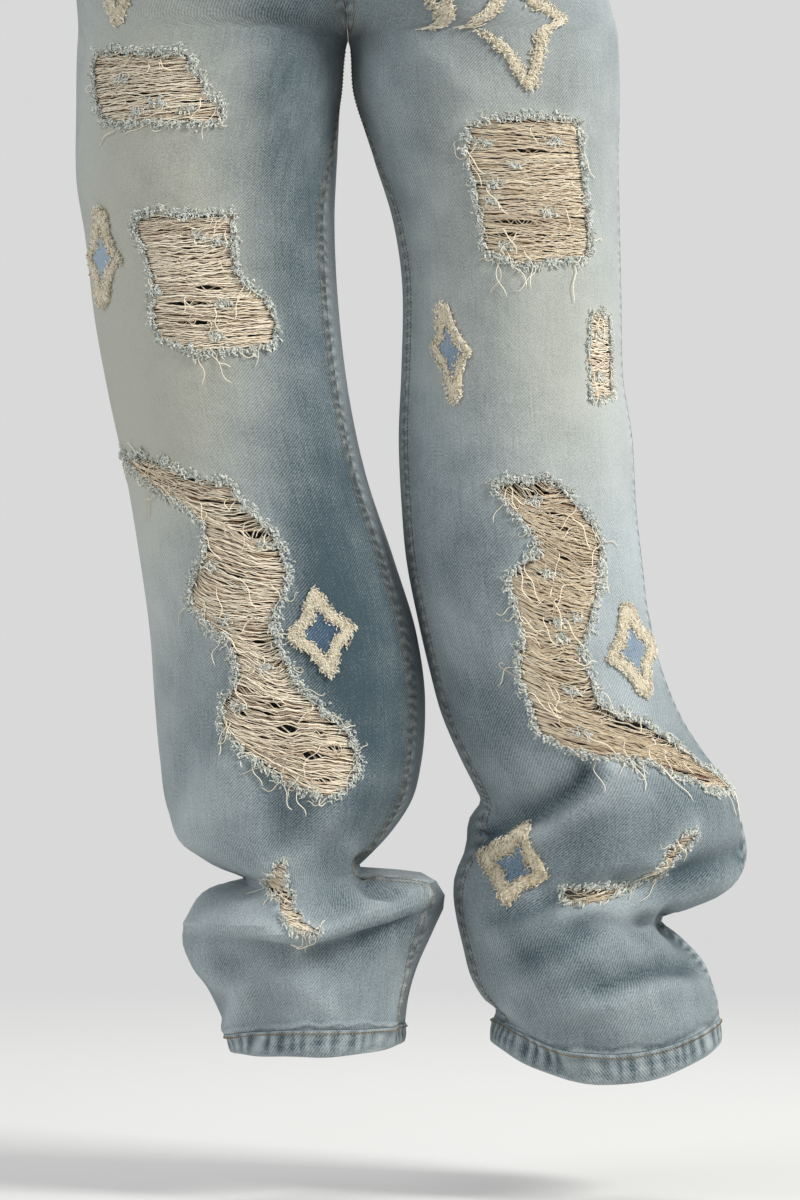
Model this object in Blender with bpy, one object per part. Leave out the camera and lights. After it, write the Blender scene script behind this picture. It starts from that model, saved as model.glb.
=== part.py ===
"""Ripped wide-leg jeans in their worn shape, built as the pieces that a maker cuts and sews.

Sizes are in millimetres until a mesh is made, and meshes are in metres.
The origin is the centre of the waist, +Z is up, the fronts face -Y, and +X is the wearer's left.
A leg is described by rings. Each ring gives how far out its outer, inner, front and back lines lie,
each with its drop below the crotch. Outer and inner are measured outward from the crotch line.
"""

from math import cos, pi, radians, sin

import bpy
import numpy as np
from mathutils import Vector
from mathutils.geometry import delaunay_2d_cdt

MM = 0.001

# Cloth and seams
CLOTH = 1.5
FOLDED_CLOTH = 3.0
HEM_OUT = 0.7
SEAM_GAP = 0.3
HALF_GAP = SEAM_GAP / 2
LAY_GAP = 0.3
WEFT_INSET = 0.55
CREASED_WEFT_INSET = 0.85
MERGE = 0.02

# Heights and lean
CROTCH_BELOW_WAIST = 235.0
CROTCH_LEAN = 8.0
LEAN_HEIGHT = 60.0
BAND_HALF_HEIGHT = 20.0
BAND_TAPER = 4.0

# The outlines on the fronts are given as seen from this point, at the scale of the plane y = 0
EYE_X = 47.0
EYE_DROP = 420.0
EYE_DISTANCE = 4400.0

# Mesh density
ROW_STEP = 27.0
FRONT_COLUMNS = 10
BACK_COLUMNS = 7
PANEL_WIDTH = 280.0
CLEAR_OF_LINES = 7.0

# Drop, outer, inner, front, back: shared by both legs
HIP_RINGS = (
    (-215, 150, -150, 104, 112),
    (-180, 163, -163, 110, 122),
    (-140, 177, -177, 114, 136),
    (-95, 190, -190, 116, 147),
    (-60, 197, -140, 114, 146),
    (-32, 200, -70, 109, 136),
    (-12, 202, -24, 102, 124),
    (0, 203, HALF_GAP, 98, 116),
)
THIGH_RING = ((204, 51), (5.5, 43), (98, 47), (108, 48))

# Outer, inner, front and back, each with its drop
RIGHT_RINGS = (
    ((204, 100), (8, 88), (97, 95), (101, 96)),
    ((197, 148), (10, 134), (95, 142), (96, 142)),
    ((190, 208), (7, 201), (92, 205), (89, 205)),
    ((179, 268), (-1, 268), (90, 268), (83, 268)),
    ((166, 328), (-14, 328), (90, 328), (80, 328)),
    ((156, 388), (-34, 388), (90, 388), (81, 388)),
    ((148, 448), (-52, 448), (91, 448), (84, 448)),
    ((145, 493), (-58, 497), (92, 495), (87, 494)),
    ((141, 538), (-55, 542), (92, 540), (90, 538)),
    ((135, 577), (-46, 574), (90, 576), (95, 572)),
    ((123, 603), (-30, 597), (88, 600), (102, 597)),
    ((100, 620), (-16, 612), (88, 618), (108, 612)),
    ((76, 630.5), (-8, 621), (89, 632), (108, 624)),
    ((100, 634.5), (-31, 622), (92, 643), (100, 634)),
    ((115, 646), (-60, 626), (97, 654), (88, 648)),
    ((124, 671), (-73, 643), (101, 665), (78, 664)),
    ((118, 692), (-64, 667), (93, 677), (82, 686)),
    ((106, 710), (-53, 692), (85, 694), (88, 706)),
    ((97, 728), (-46, 715), (85, 714), (91, 724)),
    ((91, 743), (-43, 737), (88, 736), (92, 742)),
    ((88, 758), (-42, 751), (90, 756), (92, 760)),
)
LEFT_RINGS = (
    ((203, 92), (19, 88), (97, 90), (102, 90)),
    ((204, 145), (34, 137), (94, 141), (96, 141)),
    ((205, 197), (41, 193), (92, 195), (90, 195)),
    ((206, 250), (40, 247), (90, 248), (85, 248)),
    ((213, 298), (38, 298), (89, 298), (81, 298)),
    ((216, 351), (40, 347), (90, 349), (79, 349)),
    ((221, 397), (44, 392), (92, 395), (80, 395)),
    ((226, 437), (52, 433), (94, 435), (82, 435)),
    ((235, 472), (61, 472), (96, 472), (84, 472)),
    ((251, 510), (71, 508), (97, 509), (84, 507)),
    ((271, 540), (85, 540), (98, 540), (82, 536)),
    ((289, 563), (96, 562), (97, 566), (78, 560)),
    ((295, 587), (99, 571), (96, 587), (78, 580)),
    ((299, 610), (90, 586), (95, 606), (82, 600)),
    ((294, 625), (88, 606), (94, 620), (86, 616)),
    ((279, 641), (80, 627), (91, 633), (92, 630)),
    ((258, 650), (79, 640), (95, 645), (100, 642)),
    ((235, 659), (81, 657), (102, 661), (106, 655)),
    ((249, 672), (86, 679), (106, 683), (104, 672)),
    ((266, 690), (92, 702), (107, 706), (98, 694)),
    ((273, 707), (102, 719), (106, 727), (92, 714)),
    ((277, 722), (111, 727), (103, 743), (88, 728)),
    ((278, 732), (109, 733), (99, 753), (86, 738)),
    ((279, 751), (107, 750), (97, 776), (84, 757)),
)

# Height, half width and route of each main fold, in view from the front: across, drop
RIGHT_FRONT_FOLDS = (
    (4.0, 14, ((-93, 545), (-105, 570), (-117, 592))),
    (4.0, 12, ((12, 550), (0, 566), (-14, 584))),
    (-5.0, 14, ((-50, 545), (-44, 570), (-40, 588))),
    (4.0, 9, ((-124, 666), (-47, 666), (-20, 671), (26, 651), (72, 640))),
    (-4.0, 9, ((-110, 688), (-50, 690), (0, 684), (40, 668))),
    (3.0, 7, ((-109, 700), (-76, 708), (-85, 737))),
    (3.0, 10, ((-188, 83), (-175, 118))),
    (2.5, 14, ((-20, 20), (-45, 70), (-70, 120))),
)
LEFT_FRONT_FOLDS = (
    (-5.0, 9, ((104, 596), (128, 581), (155, 571), (178, 559))),
    (4.5, 9, ((117, 599), (136, 591), (162, 579), (182, 566))),
    (-5.0, 8, ((298, 616), (262, 625), (237, 632), (199, 634), (160, 636), (148, 635))),
    (-3.0, 10, ((169, 703), (196, 698), (229, 693), (262, 692))),
    (4.0, 10, ((160, 716), (200, 714), (240, 708))),
    (3.0, 10, ((50, 7), (87, 45))),
    (2.5, 14, ((20, 20), (45, 75), (65, 130))),
)
RIGHT_BACK_FOLDS = (
    (-5.0, 14, ((-150, 400), (-60, 415), (20, 405))),
    (4.5, 14, ((-140, 430), (-50, 445), (30, 432))),
    (4.0, 12, ((-165, 40), (-100, 62), (-30, 50))),
    (-3.5, 11, ((-150, 66), (-95, 86), (-30, 74))),
    (4.0, 11, ((-110, 560), (-50, 578), (20, 562))),
)
LEFT_BACK_FOLDS = (
    (-5.0, 14, ((70, 395), (140, 412), (215, 400))),
    (4.5, 14, ((75, 425), (150, 440), (225, 428))),
    (4.0, 12, ((165, 40), (100, 62), (30, 50))),
    (-3.5, 11, ((150, 66), (95, 86), (30, 74))),
    (4.0, 11, ((115, 590), (190, 606), (270, 590))),
)

# Where the seams run round the leg, in degrees, and how soon they get there
RIGHT_INSEAM_TURN = 25
LEFT_INSEAM_TURN = 18
RIGHT_OUTSEAM_TURN = -4
LEFT_OUTSEAM_TURN = 8
TURN_LENGTH = 150.0
TRIM_ANGLE = HALF_GAP / 85

# Each rip: the leg, the width of its frayed edge if that is raised, and its outline as seen
RIPS = {
    "right_hip": ("right", 5.5, (
        (-189, 10), (-123, 10), (-110, 32), (-97, 51), (-94, 58), (-112, 62), (-181, 62), (-188, 52),
        (-191, 22))),
    "right_thigh": ("right", 5.5, (
        (-161, 133), (-87, 131), (-86, 175), (-70, 188), (-58, 201), (-54, 214), (-58, 228), (-81, 232),
        (-112, 234), (-139, 224), (-146, 214), (-146, 179), (-157, 146))),
    "right_knee": ("right", 5.5, (
        (-169, 311), (-152, 313), (-133, 320), (-116, 329), (-100, 330), (-87, 335), (-81, 346),
        (-57, 369), (-46, 398), (-47, 411), (-55, 426), (-58, 440), (-50, 461), (-36, 486), (-21, 502),
        (-4, 517), (6, 533), (5, 550), (-2, 562), (-14, 568), (-31, 563), (-49, 555), (-67, 541),
        (-85, 527), (-94, 512), (-94, 499), (-82, 476), (-88, 452), (-103, 439), (-118, 423),
        (-116, 405), (-106, 382), (-109, 362), (-121, 351), (-139, 339), (-165, 316))),
    "right_ankle": ("right", 0, (
        (-52, 616.5), (-44, 615), (-46, 626), (-47, 635), (-40, 643), (-37, 654), (-34, 661), (-19, 669),
        (-31, 671), (-44, 668), (-49, 658), (-51, 646), (-60, 637), (-63, 631), (-57, 625))),
    "left_thigh": ("left", 5.5, (
        (90, 64), (102, 60), (172, 60), (173, 76), (178, 122), (181, 152), (178, 162), (154, 166),
        (130, 169), (102, 158), (97, 121), (89, 83))),
    "left_side": ("left", 3.0, (
        (181, 205), (196, 206), (197, 232), (198, 268), (182, 270), (180, 232))),
    "left_knee": ("left", 5.5, (
        (109, 333), (125, 331), (154, 330), (173, 351), (186, 366), (190, 381), (187, 412), (179, 444),
        (175, 460), (182, 478), (187, 496), (201, 507), (218, 510), (233, 520), (254, 535), (271, 548),
        (286, 559), (284, 563), (271, 562), (246, 551), (225, 541), (204, 539), (184, 536), (160, 529),
        (145, 520), (140, 507), (135, 493), (128, 475), (128, 459), (132, 450), (127, 429), (120, 403),
        (135, 392), (145, 385), (139, 370), (125, 352), (114, 340))),
    "left_ankle": ("left", 0, (
        (160, 635), (178, 636), (199, 634), (219, 634), (208, 638), (198, 644), (189, 647), (175, 649),
        (163, 647))),
    "left_shin": ("left", 0, (
        (220.5, 628), (237, 612), (250.5, 597), (262, 589.5), (259.5, 597), (246, 612), (232.5, 628.5))),
}

# The open gaps between the weft threads: start, end, drop and height
GAPS = {
    "right_thigh": (
        (-115.5, -90.8, 186, 4.6), (-132.8, -102, 197.5, 4.6), (-131.3, -96.8, 212, 4.8)),
    "right_knee": (
        (-117.8, -102.8, 338, 4.5), (-81.8, -61.5, 371, 8), (-89.3, -69, 487.5, 5),
        (-61.5, -48, 499, 5), (-84.8, -74.3, 505, 4.6), (-50.3, -38.3, 517, 9.8), (-27, -17.3, 520, 4.8),
        (-36, -21, 537, 9), (-15.8, -5.3, 531, 4.8), (-30, -8, 555, 4.6)),
    "left_thigh": (
        (120, 151.5, 83, 4.8), (105.8, 147.8, 136.5, 4.6), (106, 130.5, 145.5, 4.6)),
    "left_knee": (
        (121, 150, 339, 4.6), (147.8, 158.3, 354.8, 4.6), (156, 167.3, 366.8, 4.6),
        (137, 145, 400.5, 4.4), (132.8, 144, 408.5, 4.4), (144.8, 157.5, 435.8, 4.8),
        (138.8, 148.5, 454.5, 4.8), (148, 169.5, 514, 6), (211.5, 224, 529.5, 4.6),
        (237, 250, 541, 4.6)),
}

# Each star: the leg, how much of it the patch inside fills, and its top, right, bottom and left
# tips as seen from the front
STARS = {
    "right_hip": ("right", 0.5, ((-172, -78), (-151, -46), (-172.5, -10), (-191, -46))),
    "right_side": ("right", 0.5, ((-185.5, 125.5), (-169, 164.5), (-183, 200.5), (-196, 163.5))),
    "right_knee": ("right", 0.55, ((-26.5, 411), (5, 440.5), (-13, 478), (-46.5, 448.5))),
    "left_fly": ("left", 0.5, ((67.5, -84), (88.5, -48), (67.5, -8.5), (46.5, -48))),
    "left_hip": ("left", 0.78, ((118.5, -55.5), (163, -16), (137.5, 38.5), (91, -13))),
    "left_thigh": ("left", 0.5, ((71, 197.5), (93.5, 234), (81, 272.5), (62.5, 228))),
    "left_knee": ("left", 0.5, ((207, 421.5), (231, 451.5), (223, 493.5), (193, 465.5))),
    "left_ankle": ("left", 0.5, ((134.5, 587), (150, 629.5), (118, 649), (98.5, 611.5))),
}
OPEN_STARS = ("left_hip",)
STAR_TIP_HALF = 4.5
STAR_TIP_DEPTH = 3.5
STAR_WAIST = 0.88
HEART_WAIST = 0.72
STAR_BORDER_HEIGHT = 3.0
STAR_PATCH_HEIGHT = 1.4

# Pockets, yoke and fly
POCKET_SCOOP_WIDTH = 105.0
POCKET_SCOOP_DEPTH = 72.0
POCKET_FACING_LAP = 8.0
YOKE_AT_BACK = 62.0
YOKE_AT_SIDE = 34.0
BACK_POCKET_WIDTH = 148.0
BACK_POCKET_HEIGHT = 138.0
BACK_POCKET_FROM_CENTRE = 48.0
BACK_POCKET_TOP = 72.0
BACK_POCKET_TAPER = 7.0
BACK_POCKET_TILT = 6.0
PAST_THE_HEM = 1600.0
FLY_WIDTH = 38.0
FLY_LENGTH = 150.0

# Waistband, loops and button
BAND_SEGMENTS = 44
BAND_OUT = 0.6
BAND_OPENING = -14.0
LOOP_WIDTH = 11.0
LOOP_THICK = 1.6
LOOP_RISE = 3.5
LOOP_PROFILE = ((18.5, 0), (17, 1), (8, LOOP_RISE), (-8, LOOP_RISE), (-16, 1), (-17.5, 0))
LOOP_ANGLES = (38, 142, 205, 270, 335)
BUTTON_RADIUS = 8.5
BUTTON_LIFT = 0.5
BUTTON_SEGMENTS = 16
BUTTON_PROFILE = (
    (0.0, 2.2), (4.6, 2.2), (5.8, 3.2), (7.4, 3.2), (BUTTON_RADIUS, 2.2), (BUTTON_RADIUS, 0.8), (7.0, 0.0))

COLOURS = {
    "washed_denim": (0.42, 0.51, 0.58),
    "patch_denim": (0.20, 0.33, 0.47),
    "ecru_weft": (0.72, 0.63, 0.47),
    "frayed_denim": (0.62, 0.69, 0.68),
    "copper_button": (0.45, 0.25, 0.13),
}


def smooth(low, high, value):
    """Rise from 0 to 1 between two values, level at both ends."""
    share = np.clip((value - low) / (high - low), 0.0, 1.0)
    return share * share * (3.0 - 2.0 * share)


def curve_slopes(knots, values):
    """Slopes of a smooth curve through the values that does not overshoot a ring."""
    gap = np.diff(knots)[:, None]
    chord = np.diff(values, axis=0) / gap
    before, after = chord[:-1], chord[1:]
    middle = (before * gap[1:] + after * gap[:-1]) / (gap[:-1] + gap[1:])
    limit = 3.0 * np.minimum(np.abs(before), np.abs(after))
    rising = before * after > 0
    middle = np.where(rising, np.clip(middle, -limit, limit), 0.4 * middle)
    return np.vstack((chord[:1], middle, chord[-1:]))


def read_curve(knots, values, slopes, at):
    """Read the curve at many places."""
    index = np.clip(np.searchsorted(knots, at, side="right") - 1, 0, len(knots) - 2)
    gap = (knots[index + 1] - knots[index])[:, None]
    share = (at[:, None] - knots[index][:, None]) / gap
    square, cube = share ** 2, share ** 3
    return (
        (2 * cube - 3 * square + 1) * values[index]
        + (cube - 2 * square + share) * gap * slopes[index]
        + (3 * square - 2 * cube) * values[index + 1]
        + (cube - square) * gap * slopes[index + 1]
    )


def distance_to_route(points, route):
    """Distance from each point to a route of straight stretches."""
    nearest = np.full(len(points), np.inf)
    for start, end in zip(route[:-1], route[1:]):
        run = end - start
        share = np.clip(((points - start) @ run) / (run @ run), 0.0, 1.0)
        gap = points - (start + share[:, None] * run)
        nearest = np.minimum(nearest, np.hypot(gap[:, 0], gap[:, 1]))
    return nearest


class Leg:
    """One leg with its half of the hips: a tube that angle and length along it describe.

    Angle 0 is the outer side, a quarter turn the front, a half turn the inner side.
    """

    def __init__(self, side, rings, inseam_turn, outseam_turn, front_folds, back_folds):
        self.side = side
        table = [(o, d, i, d, f, d, b, d, (o + i) / 2) for d, o, i, f, b in HIP_RINGS]
        for outer, inner, front, back in (THIGH_RING,) + rings:
            table.append((*outer, *inner, *front, *back, (outer[0] + inner[0]) / 2))
        self.rings = np.array(table, dtype=float)
        steps = np.hypot(np.diff(self.rings[:, 4]), np.diff(self.rings[:, 5]))
        self.knots = np.concatenate(([0.0], np.cumsum(steps)))
        self.slopes = curve_slopes(self.knots, self.rings)
        self.crotch = self.knots[len(HIP_RINGS) - 1]
        self.hem_top, self.hem_end = self.knots[-2], self.knots[-1]
        self.inseam_turn, self.outseam_turn = radians(inseam_turn), radians(outseam_turn)
        self.folds = [(1, *fold) for fold in front_folds] + [(-1, *fold) for fold in back_folds]

    def rows(self):
        """Lengths of the mesh rows from the waistband to the top of the hem."""
        found = [0.0]
        for start, end in zip(self.knots[:-2], self.knots[1:-1]):
            count = max(1, round((end - start) / ROW_STEP))
            found += [start + (end - start) * step / count for step in range(1, count + 1)]
        return np.array(found)

    def bare(self, angle, along):
        """The cloth without its folds."""
        ring = read_curve(self.knots, self.rings, self.slopes, along).T
        outer, outer_drop, inner, inner_drop, front, front_drop, back, back_drop, middle = ring
        across, deep = np.cos(angle), np.sin(angle)
        x = middle + np.where(across > 0, outer - middle, middle - inner) * across
        side_y = (back - front) / 2
        y = side_y - np.where(deep > 0, front + side_y, back - side_y) * deep
        drop = across ** 2 * np.where(across > 0, outer_drop, inner_drop)
        drop = drop + deep ** 2 * np.where(deep > 0, front_drop, back_drop)
        lean = CROTCH_LEAN * (1 - smooth(0, LEAN_HEIGHT, -drop))
        return np.column_stack((self.side * x + lean, y, -CROTCH_BELOW_WAIST - drop))

    def facing(self, shape, angle, along):
        """Unit normals that point out of the cloth, of either form."""
        turn, step = 0.002, 0.4
        round_it = shape(angle + turn, along) - shape(angle - turn, along)
        down_it = shape(angle, along + step) - shape(angle, along - step)
        normal = self.side * np.cross(round_it, down_it)
        return normal / np.linalg.norm(normal, axis=1)[:, None]

    def place(self, angle, along):
        """The outer face of the cloth, with its main folds."""
        points = self.bare(angle, along)
        view = np.column_stack((points[:, 0] - CROTCH_LEAN, -CROTCH_BELOW_WAIST - points[:, 2]))
        height = np.zeros(len(points))
        for face, rise, width, route in self.folds:
            share = smooth(0.0, 0.35, face * np.sin(angle))
            distance = distance_to_route(view, np.array(route, dtype=float))
            height += rise * share * np.exp(-0.5 * (distance / width) ** 2)
        return points + self.facing(self.bare, angle, along) * height[:, None]

    def edges(self, along):
        """Angles of the outseam, the front's inner edge and the back's inner edge."""
        ring = read_curve(self.knots, self.rings, self.slopes, along).T
        inner, middle = ring[2], ring[8]
        above = np.arccos(np.clip((middle - HALF_GAP) / (middle - inner), -1.0, 1.0))
        opening = np.where(along < self.crotch, above, 0.0)
        turned = smooth(self.crotch, self.crotch + TURN_LENGTH, along)
        inseam = pi - self.inseam_turn * turned
        return self.outseam_turn * turned, inseam - opening, inseam + opening

    def find(self, seen):
        """Angle and length of the points of the front that are seen at these places."""
        angles = np.radians(np.linspace(14, 166, 77))
        lengths = np.linspace(self.knots[1], self.hem_end, 240)
        grid_angle, grid_along = (part.ravel() for part in np.meshgrid(angles, lengths))
        grid = project(self.place(grid_angle, grid_along))
        angle, along = np.empty(len(seen)), np.empty(len(seen))
        for index, spot in enumerate(seen):
            nearest = np.argmin(np.hypot(grid[:, 0] - spot[0], grid[:, 1] - spot[1]))
            angle[index], along[index] = grid_angle[nearest], grid_along[nearest]
        for _ in range(6):
            here = project(self.place(angle, along))
            turned = (project(self.place(angle + 0.004, along)) - here) / 0.004
            moved = project(self.place(angle, along + 0.5)) - here
            moved /= 0.5
            miss = seen - here
            area = turned[:, 0] * moved[:, 1] - turned[:, 1] * moved[:, 0]
            area = np.where(np.abs(area) < 5.0, 5.0 * np.sign(area + 1e-9), area)
            more_angle = (miss[:, 0] * moved[:, 1] - miss[:, 1] * moved[:, 0]) / area
            more_along = (turned[:, 0] * miss[:, 1] - turned[:, 1] * miss[:, 0]) / area
            angle = np.clip(angle + np.clip(more_angle, -0.1, 0.1), radians(13), radians(167))
            along = along + np.clip(more_along, -8, 8)
        return angle, along


def project(points):
    """Where points are seen from the front: across from the crotch line, and drop."""
    scale = EYE_DISTANCE / (EYE_DISTANCE + points[:, 1])
    across = EYE_X + (points[:, 0] - EYE_X) * scale - CROTCH_LEAN
    drop = EYE_DROP + (-CROTCH_BELOW_WAIST - points[:, 2] - EYE_DROP) * scale
    return np.column_stack((across, drop))


class Panel:
    """The front or back of a leg, laid out flat: 0 to PANEL_WIDTH across, length down the leg."""

    def __init__(self, leg, is_front):
        self.leg, self.is_front = leg, is_front

    def limits(self, along):
        out, front_in, back_in = self.leg.edges(along)
        if self.is_front:
            return out + TRIM_ANGLE, front_in - TRIM_ANGLE
        return back_in + TRIM_ANGLE, 2 * pi + out - TRIM_ANGLE

    def angles(self, flat):
        low, high = self.limits(flat[:, 1])
        return low + (high - low) * flat[:, 0] / PANEL_WIDTH

    def flatten(self, angle, along):
        low, high = self.limits(along)
        return np.column_stack(((angle - low) / (high - low) * PANEL_WIDTH, along))

    def place(self, flat):
        angle = self.angles(flat)
        return self.leg.place(angle, flat[:, 1])

    def facing(self, flat):
        return self.leg.facing(self.leg.place, self.angles(flat), flat[:, 1])

    def stretch(self, spot):
        """Real length of one flat unit across and along, near a spot."""
        near = np.array([spot, (spot[0] + 1, spot[1]), (spot[0], spot[1] + 1)])
        here, across, along = self.place(near)
        return np.linalg.norm(across - here), np.linalg.norm(along - here)

    def seen_loop(self, outline):
        """Lay an outline that is given as seen from the front onto the flat panel."""
        return self.flatten(*self.leg.find(np.array(outline, dtype=float)))


def inside_loop(points, loop):
    """Which points lie inside a closed loop."""
    inside = np.zeros(len(points), dtype=bool)
    for start, end in zip(loop, np.roll(loop, -1, axis=0)):
        crosses = (start[1] > points[:, 1]) != (end[1] > points[:, 1])
        rise = end[1] - start[1]
        if rise != 0:
            at = start[0] + (points[:, 1] - start[1]) * (end[0] - start[0]) / rise
            inside ^= crosses & (points[:, 0] < at)
    return inside


def loop_area(loop):
    after = np.roll(loop, -1, axis=0)
    return 0.5 * np.sum(loop[:, 0] * after[:, 1] - after[:, 0] * loop[:, 1])


def offset_loop(loop, distance):
    """Move a loop outward by a distance, or by one distance for each point."""
    turn = 1.0 if loop_area(loop) > 0 else -1.0
    before = loop - np.roll(loop, 1, axis=0)
    after = np.roll(loop, -1, axis=0) - loop
    before /= np.linalg.norm(before, axis=1)[:, None]
    after /= np.linalg.norm(after, axis=1)[:, None]
    first = turn * np.column_stack((before[:, 1], -before[:, 0]))
    second = turn * np.column_stack((after[:, 1], -after[:, 0]))
    reach = np.maximum(1 + np.sum(first * second, axis=1), 0.5)
    return loop + (first + second) / reach[:, None] * np.reshape(distance, (-1, 1))


def triangulate(points, edges):
    """Constrained triangles over all the points."""
    flat = [Vector(point) for point in points]
    found, _, faces, _, _, _ = delaunay_2d_cdt(flat, edges, [], 0, MERGE)
    return np.array([tuple(point) for point in found]), np.array([tuple(face) for face in faces])


def loop_edges(start, count, closed=True):
    edges = [(start + step, start + step + 1) for step in range(count - 1)]
    return edges + [(start + count - 1, start)] if closed else edges


class Form:
    """The faceted form of a panel, which every piece on that panel follows."""

    def __init__(self, panel, columns, loops=(), lines=()):
        self.panel = panel
        rows = panel.leg.rows()
        rows[-1] -= HALF_GAP
        across = np.linspace(0, PANEL_WIDTH, columns + 1)
        border = [(x, rows[0]) for x in across[:-1]] + [(PANEL_WIDTH, t) for t in rows[:-1]]
        border += [(x, rows[-1]) for x in across[:0:-1]] + [(0.0, t) for t in rows[:0:-1]]
        points = [np.array(border)]
        edges = loop_edges(0, len(border))
        routes = [(loop, True) for loop in loops] + [(line, False) for line in lines]
        grid = np.array([(x, t) for t in rows[1:-1] for x in across[1:-1]])
        total = len(border)
        for route, closed in routes:
            path = np.vstack((route, route[:1])) if closed else route
            grid = grid[distance_to_route(grid, path) > CLEAR_OF_LINES]
            edges += loop_edges(total, len(route), closed)
            points.append(route)
            total += len(route)
        self.flat, self.faces = triangulate(np.vstack(points + [grid]), edges)
        self.points = panel.place(self.flat)
        self.normals = panel.facing(self.flat)

    def near(self, loop):
        """The facets whose boxes meet the box of a loop."""
        corners = self.flat[self.faces]
        low, high = loop.min(axis=0) - 1, loop.max(axis=0) + 1
        meets = (corners.max(axis=1) >= low).all(axis=1) & (corners.min(axis=1) <= high).all(axis=1)
        return self.faces[meets]

    def cut(self, inside, outside=(), holes=()):
        """Cut the facets along loops, and keep what is inside one loop and outside the others."""
        facets = self.near(inside)
        used = np.unique(facets)
        renumber = {old: new for new, old in enumerate(used)}
        edges = [(renumber[a], renumber[b]) for face in facets for a, b in zip(face, np.roll(face, -1))]
        points = [self.flat[used]]
        total = len(used)
        for loop in [inside, *outside, *holes]:
            edges += loop_edges(total, len(loop))
            points.append(loop)
            total += len(loop)
        flat, faces = triangulate(np.vstack(points), edges)
        middle = flat[faces].mean(axis=1)
        keep = inside_loop(middle, inside) & self.covers(middle, facets)
        for loop in [*outside, *holes]:
            keep &= ~inside_loop(middle, loop)
        return self.lift(flat, faces[keep], facets)

    def shares(self, flat, facets):
        """For each point and facet, how much of each corner makes the point."""
        a, b, c = (self.flat[facets[:, corner]] for corner in range(3))
        area = (b[:, 0] - a[:, 0]) * (c[:, 1] - a[:, 1]) - (b[:, 1] - a[:, 1]) * (c[:, 0] - a[:, 0])
        gap = flat[:, None, :] - a[None]
        second = (gap[..., 0] * (c - a)[:, 1] - gap[..., 1] * (c - a)[:, 0]) / area
        third = ((b - a)[:, 0] * gap[..., 1] - (b - a)[:, 1] * gap[..., 0]) / area
        return np.stack((1 - second - third, second, third), axis=-1)

    def covers(self, flat, facets):
        return (self.shares(flat, facets).min(axis=-1) > -1e-6).any(axis=1)

    def lift(self, flat, faces, facets):
        """Bring flat triangles onto the facets: corner points, facing directions and triangles."""
        used, faces = np.unique(faces, return_inverse=True)
        flat = flat[used]
        shares = self.shares(flat, facets)
        best = shares.min(axis=-1).argmax(axis=1)
        rows = np.arange(len(flat))
        share, corner = shares[rows, best], facets[best]
        points = np.einsum("nk,nkc->nc", share, self.points[corner])
        normals = np.einsum("nk,nkc->nc", share, self.normals[corner])
        return flat, points, normals, faces.reshape(-1, 3)

    def keep(self, inside=None, outside=()):
        """The form's own facets that lie inside one loop and outside the others."""
        middle = self.flat[self.faces].mean(axis=1)
        kept = np.ones(len(self.faces), dtype=bool) if inside is None else inside_loop(middle, inside)
        for loop in outside:
            kept &= ~inside_loop(middle, loop)
        return self.lift(self.flat, self.faces[kept], self.faces)


def material(name):
    """A plain material in the piece's colour."""
    found = bpy.data.materials.get(name)
    if found:
        return found
    made = bpy.data.materials.new(name)
    made.use_nodes = True
    shader = made.node_tree.nodes["Principled BSDF"]
    shader.inputs["Base Color"].default_value = (*COLOURS[name], 1.0)
    shader.inputs["Roughness"].default_value = 0.35 if name == "copper_button" else 0.9
    shader.inputs["Metallic"].default_value = 1.0 if name == "copper_button" else 0.0
    made.diffuse_color = (*COLOURS[name], 1.0)
    return made


def make_solid(name, points, faces, finish):
    """A mesh object from points in millimetres, with its faces turned outward."""
    points = np.asarray(points) * MM
    faces = [list(map(int, face)) for face in faces]
    volume = 0.0
    for face in faces:
        for second, third in zip(face[1:-1], face[2:]):
            volume += points[face[0]] @ np.cross(points[second], points[third])
    if volume < 0:
        faces = [face[::-1] for face in faces]
    mesh = bpy.data.meshes.new(name)
    mesh.from_pydata([tuple(point) for point in points], [], faces)
    mesh.materials.append(material(finish))
    mesh.shade_smooth()
    mesh.set_sharp_from_angle(angle=radians(40))
    made = bpy.data.objects.new(name, mesh)
    bpy.context.scene.collection.objects.link(made)
    return made


def make_sheet(name, cut, high, low, finish):
    """A closed wall between two heights over the cut facets."""
    flat, points, normals, faces = cut
    count = len(points)
    upper, lower = points + normals * high, points + normals * low
    solid = [tuple(face) for face in faces] + [tuple(face[::-1] + count) for face in faces]
    directed = {(a, b) for face in faces for a, b in zip(face, np.roll(face, -1))}
    for a, b in directed:
        if (b, a) not in directed:
            solid.append((b, a, a + count))
            solid.append((b, a + count, b + count))
    return make_solid(name, np.vstack((upper, lower)), solid, finish)


def make_tube(name, rings, finish, closed=True):
    """A closed solid from cross sections, each a loop of as many points."""
    count, size = len(rings), len(rings[0])
    faces = []
    for ring in range(count if closed else count - 1):
        after = (ring + 1) % count
        for corner in range(size):
            follow = (corner + 1) % size
            faces.append((ring * size + corner, ring * size + follow, after * size + follow))
            faces.append((ring * size + corner, after * size + follow, after * size + corner))
    if not closed:
        faces += [(0, step + 1, step) for step in range(1, size - 1)]
        last = (count - 1) * size
        faces += [(last, last + step, last + step + 1) for step in range(1, size - 1)]
    return make_solid(name, np.vstack(rings), faces, finish)


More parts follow.
